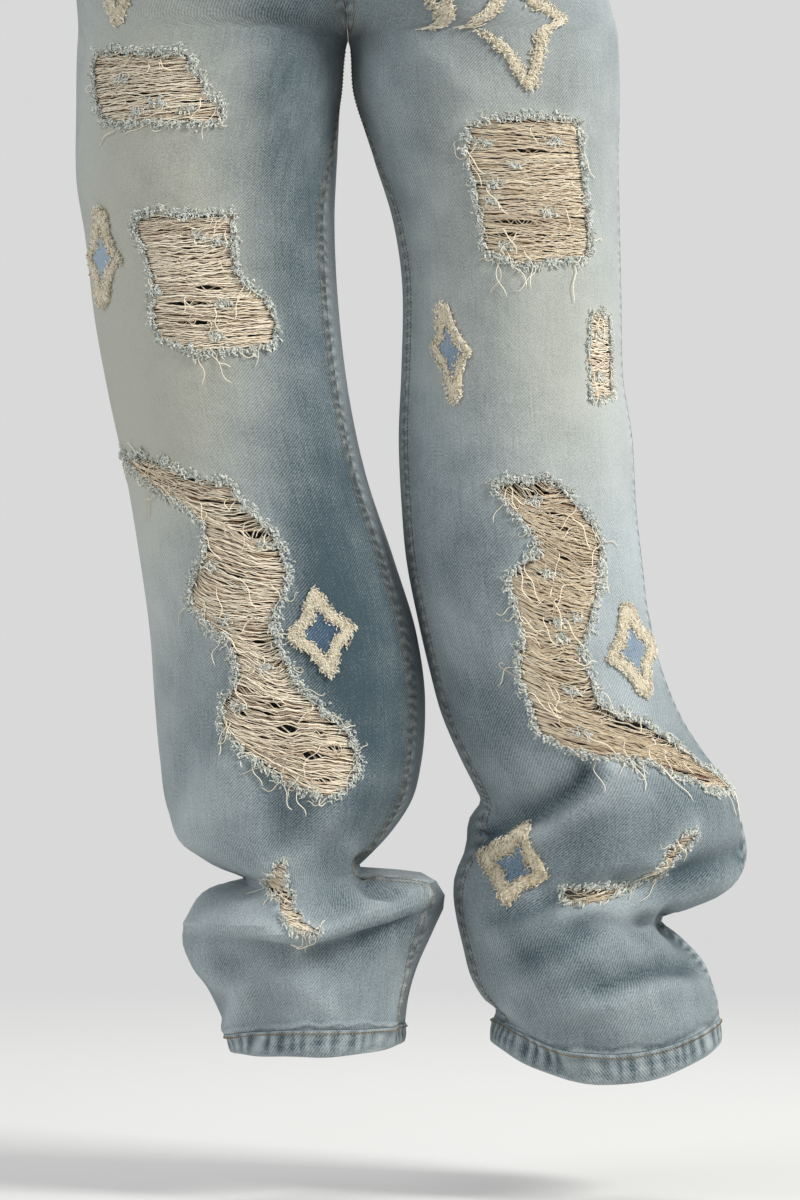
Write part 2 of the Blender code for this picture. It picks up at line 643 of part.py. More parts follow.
def star_loop(tips, share, waist, tip_half):
    """A four-pointed star between its tips, drawn in by the waist, with blunt tips or sharp ones."""
    tips = np.array(tips, dtype=float)
    centre = tips.mean(axis=0)
    arms = (tips - centre) * share
    loop = []
    for arm, after in zip(arms, np.roll(arms, -1, axis=0)):
        if tip_half:
            ahead = arm / np.linalg.norm(arm)
            beside = np.array((-ahead[1], ahead[0])) * tip_half
            shoulder = centre + arm - ahead * STAR_TIP_DEPTH
            loop += [shoulder - beside, centre + arm, shoulder + beside]
        else:
            loop.append(centre + arm)
        loop.append(centre + (arm + after) / 2 * waist)
    return np.array(loop)


def ragged_loop(loop, width):
    """The uneven outer edge of a frayed strip round a rip."""
    points = []
    for start, end in zip(loop, np.roll(loop, -1, axis=0)):
        points.append(start)
        if np.linalg.norm(end - start) > 22:
            points.append((start + end) / 2)
    points = np.array(points)
    order = np.arange(len(points))
    reach = width * (0.72 + 0.28 * np.where(order % 2, 1.0, -0.4) + 0.12 * np.sin(order * 2.4))
    return offset_loop(points, reach)


def gap_loop(start, end, drop, height):
    """One open gap between weft threads, pointed at both ends."""
    width = end - start
    return (
        (start, drop), (start + 0.3 * width, drop - height / 2), (start + 0.7 * width, drop - height / 2),
        (end, drop), (start + 0.7 * width, drop + height / 2), (start + 0.3 * width, drop + height / 2))


def pocket_scoop(panel, lap):
    """The curved front pocket opening, from the waistband to the outseam."""
    across, along = panel.stretch((PANEL_WIDTH * 0.2, 30.0))
    width, depth = (POCKET_SCOOP_WIDTH + lap) / across, (POCKET_SCOOP_DEPTH + lap) / along
    angles = np.linspace(0, pi / 2, 7)
    curve = np.column_stack((width * np.cos(angles) ** 0.7, depth * np.sin(angles) ** 0.8))
    return curve


def fronts(side, leg):
    """The front panel of one leg, and everything that lies in or on it."""
    panel = Panel(leg, True)
    scoop = pocket_scoop(panel, 0.0)
    scoop_area = np.vstack(((-1.0, -1.0), (scoop[0, 0], -1.0), scoop, (-1.0, scoop[-1, 1])))
    rips = {name: panel.seen_loop(outline) for name, (on, _, outline) in RIPS.items() if on == side}
    form = Form(panel, FRONT_COLUMNS, loops=list(rips.values()), lines=[scoop])
    make_sheet(
        f"front_{side}", form.keep(outside=[scoop_area, *rips.values()]), 0.0, -CLOTH, "washed_denim")
    wider = pocket_scoop(panel, POCKET_FACING_LAP)
    facing_area = np.vstack(((0.0, 0.0), wider))
    make_sheet(
        f"pocket_facing_{side}", form.cut(facing_area), -CLOTH - LAY_GAP, -2 * CLOTH - LAY_GAP,
        "washed_denim")
    stars = {}
    for name, (on, share, tips) in STARS.items():
        if on != side:
            continue
        border = panel.seen_loop(star_loop(tips, 1.0, STAR_WAIST, STAR_TIP_HALF))
        heart = panel.seen_loop(star_loop(tips, share, HEART_WAIST, 0.0))
        stars[name] = border
        make_sheet(
            f"star_border_{name}", form.cut(border, holes=[heart]), LAY_GAP + STAR_BORDER_HEIGHT,
            LAY_GAP, "ecru_weft")
        if name not in OPEN_STARS:
            make_sheet(
                f"star_patch_{name}", form.cut(offset_loop(heart, -SEAM_GAP * 1.3)),
                LAY_GAP + STAR_PATCH_HEIGHT, LAY_GAP, "patch_denim")
    for name, loop in rips.items():
        gaps = [panel.seen_loop(gap_loop(*gap)) for gap in GAPS.get(name, ())]
        inset = WEFT_INSET if RIPS[name][1] else CREASED_WEFT_INSET
        make_sheet(
            f"weft_{name}", form.cut(offset_loop(loop, -inset), holes=gaps), -0.3, -1.4, "ecru_weft")
        if not RIPS[name][1]:
            continue
        nearby = [offset_loop(star, 0.5) for star in stars.values()]
        make_sheet(
            f"fray_{name}", form.cut(ragged_loop(loop, RIPS[name][1]), [offset_loop(loop, 0.4), *nearby]),
            LAY_GAP + 1.3, LAY_GAP, "frayed_denim")
    if side == "left":
        make_fly(panel, form)
    return panel


def make_fly(panel, form):
    """The flap over the fly, with its curved lower end."""
    across, along = panel.stretch((PANEL_WIDTH * 0.95, FLY_LENGTH / 2))
    left = PANEL_WIDTH - FLY_WIDTH / across
    length = FLY_LENGTH / along
    bend = FLY_WIDTH / across
    angles = np.linspace(0, pi / 2, 6)
    curve = np.column_stack((
        PANEL_WIDTH - bend * np.cos(angles), length - bend * 1.3 + bend * 1.3 * np.sin(angles)))
    outline = np.vstack(((left, 0.5), curve, (PANEL_WIDTH, 0.5)))
    make_sheet("fly_flap", form.cut(outline), LAY_GAP + CLOTH, LAY_GAP, "washed_denim")


def backs(side, leg):
    """The back panel of one leg with its yoke and patch pocket."""
    panel = Panel(leg, False)
    across = np.linspace(0, PANEL_WIDTH, BACK_COLUMNS + 1)
    drop = YOKE_AT_BACK + (YOKE_AT_SIDE - YOKE_AT_BACK) * (across / PANEL_WIDTH) ** 1.2
    lower = np.column_stack((across, drop + HALF_GAP * 1.2))
    upper = np.column_stack((across, drop - HALF_GAP * 1.2))
    form = Form(panel, BACK_COLUMNS, lines=[lower, upper])
    edge = PANEL_WIDTH + 1.0
    above = np.vstack(((-1.0, -1.0), (edge, -1.0), (edge, upper[-1, 1]), upper[::-1], (-1.0, upper[0, 1])))
    below = np.vstack((
        (-1.0, PAST_THE_HEM), (edge, PAST_THE_HEM), (edge, lower[-1, 1]), lower[::-1], (-1.0, lower[0, 1])))
    make_sheet(f"back_{side}", form.keep(inside=below), 0.0, -CLOTH, "washed_denim")
    make_sheet(f"yoke_{side}", form.keep(inside=above), 0.0, -CLOTH, "washed_denim")
    unit_across, unit_along = panel.stretch((PANEL_WIDTH / 2, BACK_POCKET_TOP + 60))
    left = BACK_POCKET_FROM_CENTRE / unit_across
    right = left + BACK_POCKET_WIDTH / unit_across
    top, height = BACK_POCKET_TOP, BACK_POCKET_HEIGHT / unit_along
    middle = (left + right) / 2
    shoulder = top + height * 0.82
    pocket = np.array((
        (left, top), (right, top - BACK_POCKET_TILT), (right - BACK_POCKET_TAPER, shoulder),
        (middle, top + height), (left + BACK_POCKET_TAPER, shoulder)))
    make_sheet(f"back_pocket_{side}", form.cut(pocket), LAY_GAP + CLOTH, LAY_GAP, "washed_denim")
    return panel


def make_hem(side, leg, panels):
    """The folded hem band, with its points under the panels' own points."""
    top, end = leg.hem_top + SEAM_GAP, leg.hem_end
    angles = []
    for panel, columns in zip(panels, (FRONT_COLUMNS, BACK_COLUMNS)):
        across = np.linspace(0, PANEL_WIDTH, columns + 1)
        flat = np.column_stack((across, np.full(columns + 1, leg.hem_top)))
        angles += list(panel.angles(flat)[:-1])
    angles = np.array(angles)
    rings = []
    for length in (top, (top + end) / 2, end):
        along = np.full(len(angles), length)
        rings.append((leg.place(angles, along), leg.facing(leg.place, angles, along)))
    sections = []
    for index in range(len(angles)):
        outer = [points[index] + normals[index] * HEM_OUT for points, normals in rings]
        inner = [points[index] - normals[index] * (FOLDED_CLOTH - HEM_OUT) for points, normals in rings]
        sections.append(outer + inner[::-1])
    make_tube(f"hem_{side}", sections, "washed_denim")


def band_point(angle, height, out):
    """A point on the waistband: its outline, a height over the waist line, and how far outside."""
    _, outer, _, front, back = HIP_RINGS[0]
    taper = BAND_TAPER * (height + BAND_HALF_HEIGHT) / (2 * BAND_HALF_HEIGHT)
    side_y = (back - front) / 2
    deep = front + side_y if sin(angle) > 0 else back - side_y
    normal = np.array((cos(angle) / outer, -sin(angle) / deep, 0.0))
    normal /= np.linalg.norm(normal)
    base = np.array((outer * cos(angle), side_y - deep * sin(angle), height))
    return base + normal * (out - taper), normal


def make_waistband():
    """A band of doubled cloth, open at the fly."""
    start = pi / 2 - BAND_OPENING / HIP_RINGS[0][1] + SEAM_GAP / HIP_RINGS[0][1]
    sweep = 2 * pi - 2 * SEAM_GAP / HIP_RINGS[0][1]
    low, high = -BAND_HALF_HEIGHT + SEAM_GAP * 1.3, BAND_HALF_HEIGHT
    sections = []
    for step in range(BAND_SEGMENTS + 1):
        angle = start + sweep * step / BAND_SEGMENTS
        inner = BAND_OUT - FOLDED_CLOTH
        corners = ((low, BAND_OUT), (high, BAND_OUT), (high, inner), (low, inner))
        sections.append([band_point(angle, height, out)[0] for height, out in corners])
    make_tube("waistband", sections, "washed_denim", closed=False)


def make_belt_loop(index, angle):
    """A narrow loop that stands off the waistband."""
    _, normal = band_point(angle, 0.0, BAND_OUT)
    tangent = np.array((-normal[1], normal[0], 0.0))
    sections = []
    half, thick = tangent * LOOP_WIDTH / 2, normal * LOOP_THICK
    for height, rise in LOOP_PROFILE:
        seat, _ = band_point(angle, height, BAND_OUT + LAY_GAP + rise)
        sections.append([seat - half, seat + half, seat + half + thick, seat - half + thick])
    make_tube(f"belt_loop_{index}", sections, "washed_denim", closed=False)


def make_button():
    """The shank button on the waistband, with a rolled rim and a hollow face."""
    low, _ = band_point(pi / 2, -8.0, BAND_OUT)
    high, _ = band_point(pi / 2, 8.0, BAND_OUT)
    up = (high - low) / np.linalg.norm(high - low)
    side = np.array((1.0, 0.0, 0.0))
    out = np.cross(side, up)
    seat = (low + high) / 2 + out * BUTTON_LIFT
    segments = BUTTON_SEGMENTS
    points = [seat + out * BUTTON_PROFILE[0][1]]
    for radius, rise in BUTTON_PROFILE[1:]:
        for step in range(segments):
            angle = 2 * pi * step / segments
            points.append(seat + out * rise + side * radius * cos(angle) + up * radius * sin(angle))
    points.append(seat)
    faces = [(0, 1 + step, 1 + (step + 1) % segments) for step in range(segments)]
    rings = len(BUTTON_PROFILE) - 1
    for ring in range(rings - 1):
        for step in range(segments):
            a, b = 1 + ring * segments + step, 1 + ring * segments + (step + 1) % segments
            faces.append((a, a + segments, b + segments, b))
    last = 1 + (rings - 1) * segments
    faces += [(len(points) - 1, last + (step + 1) % segments, last + step) for step in range(segments)]
    make_solid("button", points, faces, "copper_button")


def main():
    for old in list(bpy.data.objects):
        bpy.data.objects.remove(old, do_unlink=True)
    legs = {
        "right": Leg(-1, RIGHT_RINGS, RIGHT_INSEAM_TURN, RIGHT_OUTSEAM_TURN,
                     RIGHT_FRONT_FOLDS, RIGHT_BACK_FOLDS),
        "left": Leg(1, LEFT_RINGS, LEFT_INSEAM_TURN, LEFT_OUTSEAM_TURN,
                    LEFT_FRONT_FOLDS, LEFT_BACK_FOLDS),
    }
    for side, leg in legs.items():
        panels = (fronts(side, leg), backs(side, leg))
        make_hem(side, leg, panels)
    make_waistband()
    for index, degrees in enumerate(LOOP_ANGLES, start=1):
        make_belt_loop(index, radians(degrees))
    make_button()


main()
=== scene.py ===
# %% [markdown]
# # Ripped wide-leg jeans
# These are light-wash jeans in their worn shape: two fronts, two backs with their yokes, two hem bands, a
# waistband, patch pockets, rips with their weft left in, and four-pointed stars with a shaggy edge.
# Real jeans start as flat cloth, so everything here is laid out flat on a panel first, in millimetres, and
# is then lifted onto the shape of the leg. One description of the leg serves cloth, threads and stitches.

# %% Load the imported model
from math import cos, pi, radians, sin

import bmesh
import bpy
import numpy as np
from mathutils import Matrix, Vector
from mathutils.geometry import delaunay_2d_cdt


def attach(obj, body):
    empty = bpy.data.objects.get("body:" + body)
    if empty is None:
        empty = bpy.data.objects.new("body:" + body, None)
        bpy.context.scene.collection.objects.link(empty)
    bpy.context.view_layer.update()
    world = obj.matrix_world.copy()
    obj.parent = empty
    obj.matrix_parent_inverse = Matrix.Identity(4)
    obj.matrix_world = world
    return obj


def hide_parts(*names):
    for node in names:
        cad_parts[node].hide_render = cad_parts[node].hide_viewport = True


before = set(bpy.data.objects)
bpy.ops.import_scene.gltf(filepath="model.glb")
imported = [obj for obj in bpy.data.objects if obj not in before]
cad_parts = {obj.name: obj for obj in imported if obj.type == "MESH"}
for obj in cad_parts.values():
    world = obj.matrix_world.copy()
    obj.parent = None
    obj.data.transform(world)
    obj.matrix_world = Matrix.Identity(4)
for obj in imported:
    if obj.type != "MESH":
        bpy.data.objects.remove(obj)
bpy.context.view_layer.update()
MM = 0.001
print("nodes in the frame:", len(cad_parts))

# %% [markdown]
# ## The legs as rings
# A trouser leg is a tube, but not a round one: the hip is wide and shallow, the knee leans inward and the
# lower leg stacks up in deep folds. A ring says how far out the cloth lies on its outer, inner, front and
# back lines, each with its own drop below the crotch, so a ring may tilt. Few rings, read as one smooth
# curve, give clean cloth that fine creases can be added to.

# %% Sizes of the legs
CLOTH = 1.5
HALF_GAP = 0.15
CROTCH_BELOW_WAIST = 235.0
CROTCH_LEAN = 8.0
LEAN_HEIGHT = 60.0
PANEL_WIDTH = 280.0
TRIM_ANGLE = HALF_GAP / 85
TURN_LENGTH = 150.0

HIP_RINGS = (
    (-215, 150, -150, 104, 112),
    (-180, 163, -163, 110, 122),
    (-140, 177, -177, 114, 136),
    (-95, 190, -190, 116, 147),
    (-60, 197, -140, 114, 146),
    (-32, 200, -70, 109, 136),
    (-12, 202, -24, 102, 124),
    (0, 203, HALF_GAP, 98, 116),
)
THIGH_RING = ((204, 51), (5.5, 43), (98, 47), (108, 48))
RIGHT_RINGS = (
    ((204, 100), (8, 88), (97, 95), (101, 96)),
    ((197, 148), (10, 134), (95, 142), (96, 142)),
    ((190, 208), (7, 201), (92, 205), (89, 205)),
    ((179, 268), (-1, 268), (90, 268), (83, 268)),
    ((166, 328), (-14, 328), (90, 328), (80, 328)),
    ((156, 388), (-34, 388), (90, 388), (81, 388)),
    ((148, 448), (-52, 448), (91, 448), (84, 448)),
    ((145, 493), (-58, 497), (92, 495), (87, 494)),
    ((141, 538), (-55, 542), (92, 540), (90, 538)),
    ((135, 577), (-46, 574), (90, 576), (95, 572)),
    ((123, 603), (-30, 597), (88, 600), (102, 597)),
    ((100, 620), (-16, 612), (88, 618), (108, 612)),
    ((76, 630.5), (-8, 621), (89, 632), (108, 624)),
    ((100, 634.5), (-31, 622), (92, 643), (100, 634)),
    ((115, 646), (-60, 626), (97, 654), (88, 648)),
    ((124, 671), (-73, 643), (101, 665), (78, 664)),
    ((118, 692), (-64, 667), (93, 677), (82, 686)),
    ((106, 710), (-53, 692), (85, 694), (88, 706)),
    ((97, 728), (-46, 715), (85, 714), (91, 724)),
    ((91, 743), (-43, 737), (88, 736), (92, 742)),
    ((88, 758), (-42, 751), (90, 756), (92, 760)),
)
LEFT_RINGS = (
    ((203, 92), (19, 88), (97, 90), (102, 90)),
    ((204, 145), (34, 137), (94, 141), (96, 141)),
    ((205, 197), (41, 193), (92, 195), (90, 195)),
    ((206, 250), (40, 247), (90, 248), (85, 248)),
    ((213, 298), (38, 298), (89, 298), (81, 298)),
    ((216, 351), (40, 347), (90, 349), (79, 349)),
    ((221, 397), (44, 392), (92, 395), (80, 395)),
    ((226, 437), (52, 433), (94, 435), (82, 435)),
    ((235, 472), (61, 472), (96, 472), (84, 472)),
    ((251, 510), (71, 508), (97, 509), (84, 507)),
    ((271, 540), (85, 540), (98, 540), (82, 536)),
    ((289, 563), (96, 562), (97, 566), (78, 560)),
    ((295, 587), (99, 571), (96, 587), (78, 580)),
    ((299, 610), (90, 586), (95, 606), (82, 600)),
    ((294, 625), (88, 606), (94, 620), (86, 616)),
    ((279, 641), (80, 627), (91, 633), (92, 630)),
    ((258, 650), (79, 640), (95, 645), (100, 642)),
    ((235, 659), (81, 657), (102, 661), (106, 655)),
    ((249, 672), (86, 679), (106, 683), (104, 672)),
    ((266, 690), (92, 702), (107, 706), (98, 694)),
    ((273, 707), (102, 719), (106, 727), (92, 714)),
    ((277, 722), (111, 727), (103, 743), (88, 728)),
    ((278, 732), (109, 733), (99, 753), (86, 738)),
    ((279, 751), (107, 750), (97, 776), (84, 757)),
)
INSEAM_TURN = {"right": 25, "left": 18}
OUTSEAM_TURN = {"right": -4, "left": 8}
print("rings:", len(HIP_RINGS), "on the hips,", len(RIGHT_RINGS), "and", len(LEFT_RINGS), "on the legs")

# %% [markdown]
# ## Creases
# Heavy denim creases in a few long soft ridges and troughs, deepest where the leg bends and where it stacks
# up above the hem. Cloth simulation would move them about, so each one is drawn as a route seen from the
# front, with its height and half width. Folds that rise are positive and troughs are negative.

# %% The main folds, then the finer creases: height, half width, route
FRONT_FOLDS = {
    "right": (
        (4.0, 14, ((-93, 545), (-105, 570), (-117, 592))),
        (4.0, 12, ((12, 550), (0, 566), (-14, 584))),
        (-5.0, 14, ((-50, 545), (-44, 570), (-40, 588))),
        (4.0, 9, ((-124, 666), (-47, 666), (-20, 671), (26, 651), (72, 640))),
        (-4.0, 9, ((-110, 688), (-50, 690), (0, 684), (40, 668))),
        (3.0, 7, ((-109, 700), (-76, 708), (-85, 737))),
        (3.0, 10, ((-188, 83), (-175, 118))),
        (2.5, 14, ((-20, 20), (-45, 70), (-70, 120))),
    ),
    "left": (
        (-5.0, 9, ((104, 596), (128, 581), (155, 571), (178, 559))),
        (4.5, 9, ((117, 599), (136, 591), (162, 579), (182, 566))),
        (-5.0, 8, ((298, 616), (262, 625), (237, 632), (199, 634), (160, 636), (148, 635))),
        (-3.0, 10, ((169, 703), (196, 698), (229, 693), (262, 692))),
        (4.0, 10, ((160, 716), (200, 714), (240, 708))),
        (3.0, 10, ((50, 7), (87, 45))),
        (2.5, 14, ((20, 20), (45, 75), (65, 130))),
    ),
}
BACK_FOLDS = {
    "right": (
        (-5.0, 14, ((-150, 400), (-60, 415), (20, 405))),
        (4.5, 14, ((-140, 430), (-50, 445), (30, 432))),
        (4.0, 12, ((-165, 40), (-100, 62), (-30, 50))),
        (-3.5, 11, ((-150, 66), (-95, 86), (-30, 74))),
        (4.0, 11, ((-110, 560), (-50, 578), (20, 562))),
    ),
    "left": (
        (-5.0, 14, ((70, 395), (140, 412), (215, 400))),
        (4.5, 14, ((75, 425), (150, 440), (225, 428))),
        (4.0, 12, ((165, 40), (100, 62), (30, 50))),
        (-3.5, 11, ((150, 66), (95, 86), (30, 74))),
        (4.0, 11, ((115, 590), (190, 606), (270, 590))),
    ),
}
FRONT_CREASES = {
    "right": (
        (3.0, 4, ((-124, 659), (-89, 658), (-62, 661), (-49, 666))),
        (-7.0, 5, ((-120, 671), (-89, 670), (-63, 674), (-45, 678))),
        (3.5, 4, ((-20, 664), (4, 656), (31, 645), (57, 636), (71, 633))),
        (-8.5, 6, ((-22, 679), (5, 673), (32, 663), (60, 652), (74, 647))),
        (-7.0, 5, ((8, 616), (11, 630), (18, 637), (34, 641))),
        (4.0, 6, ((0, 604), (2, 626), (10, 642), (24, 650))),
        (3.2, 7, ((-8, 576), (-22, 596), (-36, 612))),
        (-3.5, 9, ((-62, 552), (-58, 580), (-52, 604))),
        (2.6, 8, ((-92, 545), (-100, 575), (-92, 600), (-68, 622))),
        (-3.0, 7, ((-118, 618), (-92, 628), (-64, 634))),
        (3.5, 8, ((-70, 703), (-44, 696), (-12, 722))),
        (4.5, 6, ((-111, 690), (-79, 707), (-79, 720), (-86, 738))),
        (-3.5, 6, ((-64, 708), (-62, 725), (-66, 742))),
        (-3.0, 7, ((-112, 708), (-102, 730))),
        (3.0, 4, ((42, 699), (35, 722), (30, 738))),
        (-3.5, 5, ((53, 702), (47, 722), (42, 742))),
        (1.5, 12, ((0, 470), (-18, 540), (-44, 592))),
        (-1.8, 12, ((-128, 470), (-118, 520), (-104, 560))),
        (1.4, 16, ((-40, 250), (-60, 300), (-60, 360))),
    ),
    "left": (
        (-8.0, 6, ((98, 594), (118, 588), (142, 577), (164, 561), (176, 546))),
        (5.5, 6, ((118, 604), (138, 596), (160, 583), (180, 567), (193, 546))),
        (-6.0, 5, ((108, 657), (128, 648), (146, 642), (166, 641))),
        (2.5, 5, ((112, 645), (132, 637), (150, 631))),
        (-6.0, 7, ((300, 604), (262, 617), (230, 629), (200, 631))),
        (6.0, 6, ((300, 622), (271, 632), (243, 641), (215, 643), (186, 645), (158, 650))),
        (-6.0, 5, ((262, 676), (247, 669), (236, 662), (234, 652))),
        (3.5, 5, ((226, 650), (224, 664), (232, 676))),
        (-6.5, 4.5, ((184, 708), (207, 697), (231, 690), (258, 692))),
        (3.0, 5, ((172, 718), (205, 709), (235, 703), (262, 706))),
        (4.5, 7, ((126, 707), (158, 692), (184, 677), (198, 657))),
        (-3.5, 7, ((118, 690), (150, 676), (172, 662))),
        (-5.0, 5, ((104, 724), (120, 738), (140, 752), (160, 764))),
        (3.0, 6, ((118, 722), (140, 738), (164, 750))),
        (2.2, 10, ((205, 560), (230, 580), (262, 584))),
        (1.4, 14, ((90, 440), (110, 500), (134, 540))),
        (1.4, 16, ((130, 200), (140, 260), (150, 320))),
    ),
}
BACK_CREASES = {
    "right": (
        (-2.6, 6, ((-118, 668), (-60, 676), (10, 662), (50, 650))),
        (2.2, 6, ((-114, 656), (-60, 662), (10, 648), (46, 640))),
        (-2.2, 7, ((-110, 712), (-60, 706), (0, 714), (36, 704))),
        (1.6, 8, ((-130, 350), (-70, 372), (0, 360))),
        (-1.6, 10, ((-60, -20), (-110, 14), (-160, 20))),
        (-2.4, 8, ((-130, 500), (-70, 522), (10, 508))),
        (-2.8, 9, ((-178, 92), (-122, 130), (-62, 120), (-18, 86))),
        (2.4, 9, ((-180, 112), (-122, 152), (-60, 142))),
        (-2.4, 12, ((-40, 180), (-70, 260), (-80, 330))),
        (2.2, 12, ((-150, 190), (-130, 270), (-132, 340))),
        (-3.2, 7, ((-150, 372), (-110, 392), (-70, 396), (-45, 386))),
        (2.8, 6, ((-148, 386), (-108, 407), (-62, 409))),
        (-3.0, 7, ((-42, 420), (-82, 440), (-122, 446))),
        (2.6, 7, ((-46, 438), (-92, 459), (-138, 456))),
        (-3.6, 7, ((-112, 590), (-70, 607), (-22, 600))),
        (3.2, 6, ((-114, 604), (-66, 622), (-16, 612))),
    ),
    "left": (
        (-2.8, 6, ((284, 628), (230, 642), (160, 646), (110, 654))),
        (2.4, 6, ((284, 614), (230, 628), (160, 632), (104, 638))),
        (-2.2, 7, ((270, 700), (210, 712), (150, 704), (110, 712))),
        (1.6, 8, ((70, 350), (140, 370), (208, 356))),
        (-1.6, 10, ((60, -20), (110, 14), (160, 20))),
        (-2.4, 8, ((100, 520), (170, 548), (240, 536))),
        (-2.8, 9, ((176, 90), (120, 128), (60, 118), (20, 84))),
        (2.4, 9, ((182, 112), (120, 152), (62, 140))),
        (-2.4, 12, ((60, 180), (85, 260), (90, 330))),
        (2.2, 12, ((180, 190), (165, 270), (172, 340))),
        (-3.2, 7, ((60, 372), (100, 389), (150, 393), (205, 380))),
        (2.8, 6, ((64, 388), (110, 407), (170, 405))),
        (-3.0, 7, ((212, 418), (160, 440), (110, 446))),
        (2.6, 7, ((226, 440), (170, 462), (104, 458))),
        (-3.6, 7, ((146, 560), (200, 577), (262, 570))),
        (3.2, 6, ((138, 574), (200, 593), (274, 586))),
    ),
}
print("fine creases in front:", len(FRONT_CREASES["right"]), "and", len(FRONT_CREASES["left"]))


# %% Reading a curve through the rings
def smooth(low, high, value):
    """Rise from 0 to 1 between two values, level at both ends."""
    share = np.clip((value - low) / (high - low), 0.0, 1.0)
    return share * share * (3.0 - 2.0 * share)


def curve_slopes(knots, values):
    """Slopes of a smooth curve through the values that does not overshoot a ring."""
    gap = np.diff(knots)[:, None]
    chord = np.diff(values, axis=0) / gap
    before, after = chord[:-1], chord[1:]
    middle = (before * gap[1:] + after * gap[:-1]) / (gap[:-1] + gap[1:])
    limit = 3.0 * np.minimum(np.abs(before), np.abs(after))
    middle = np.where(before * after > 0, np.clip(middle, -limit, limit), 0.4 * middle)
    return np.vstack((chord[:1], middle, chord[-1:]))


def read_curve(knots, values, slopes, at):
    """Read the curve at many places."""
    index = np.clip(np.searchsorted(knots, at, side="right") - 1, 0, len(knots) - 2)
    gap = (knots[index + 1] - knots[index])[:, None]
    share = (at[:, None] - knots[index][:, None]) / gap
    square, cube = share ** 2, share ** 3
    return (
        (2 * cube - 3 * square + 1) * values[index]
        + (cube - 2 * square + share) * gap * slopes[index]
        + (3 * square - 2 * cube) * values[index + 1]
        + (cube - square) * gap * slopes[index + 1]
    )


def distance_to_route(points, route):
    """Distance from each point to a route of straight stretches."""
    nearest = np.full(len(points), np.inf)
    for start, end in zip(route[:-1], route[1:]):
        run = end - start
        share = np.clip(((points - start) @ run) / (run @ run), 0.0, 1.0)
        gap = points - (start + share[:, None] * run)
        nearest = np.minimum(nearest, np.hypot(gap[:, 0], gap[:, 1]))
    return nearest


# %% [markdown]
# ## A leg as a surface
# Angle 0 is the outer side of a leg, a quarter turn is its front and a half turn its inner side. With the
# length along the leg, two numbers name any spot on the cloth, and the surface there has an outward
# direction. Stitches and threads only need a height along that direction to lie on the cloth.

# %% A leg
EYE_X = 47.0
EYE_DROP = 420.0
EYE_DISTANCE = 4400.0


def project(points):
    """Where points are seen from the front: across from the crotch line, and drop."""
    scale = EYE_DISTANCE / (EYE_DISTANCE + points[:, 1])
    across = EYE_X + (points[:, 0] - EYE_X) * scale - CROTCH_LEAN
    drop = EYE_DROP + (-CROTCH_BELOW_WAIST - points[:, 2] - EYE_DROP) * scale
    return np.column_stack((across, drop))


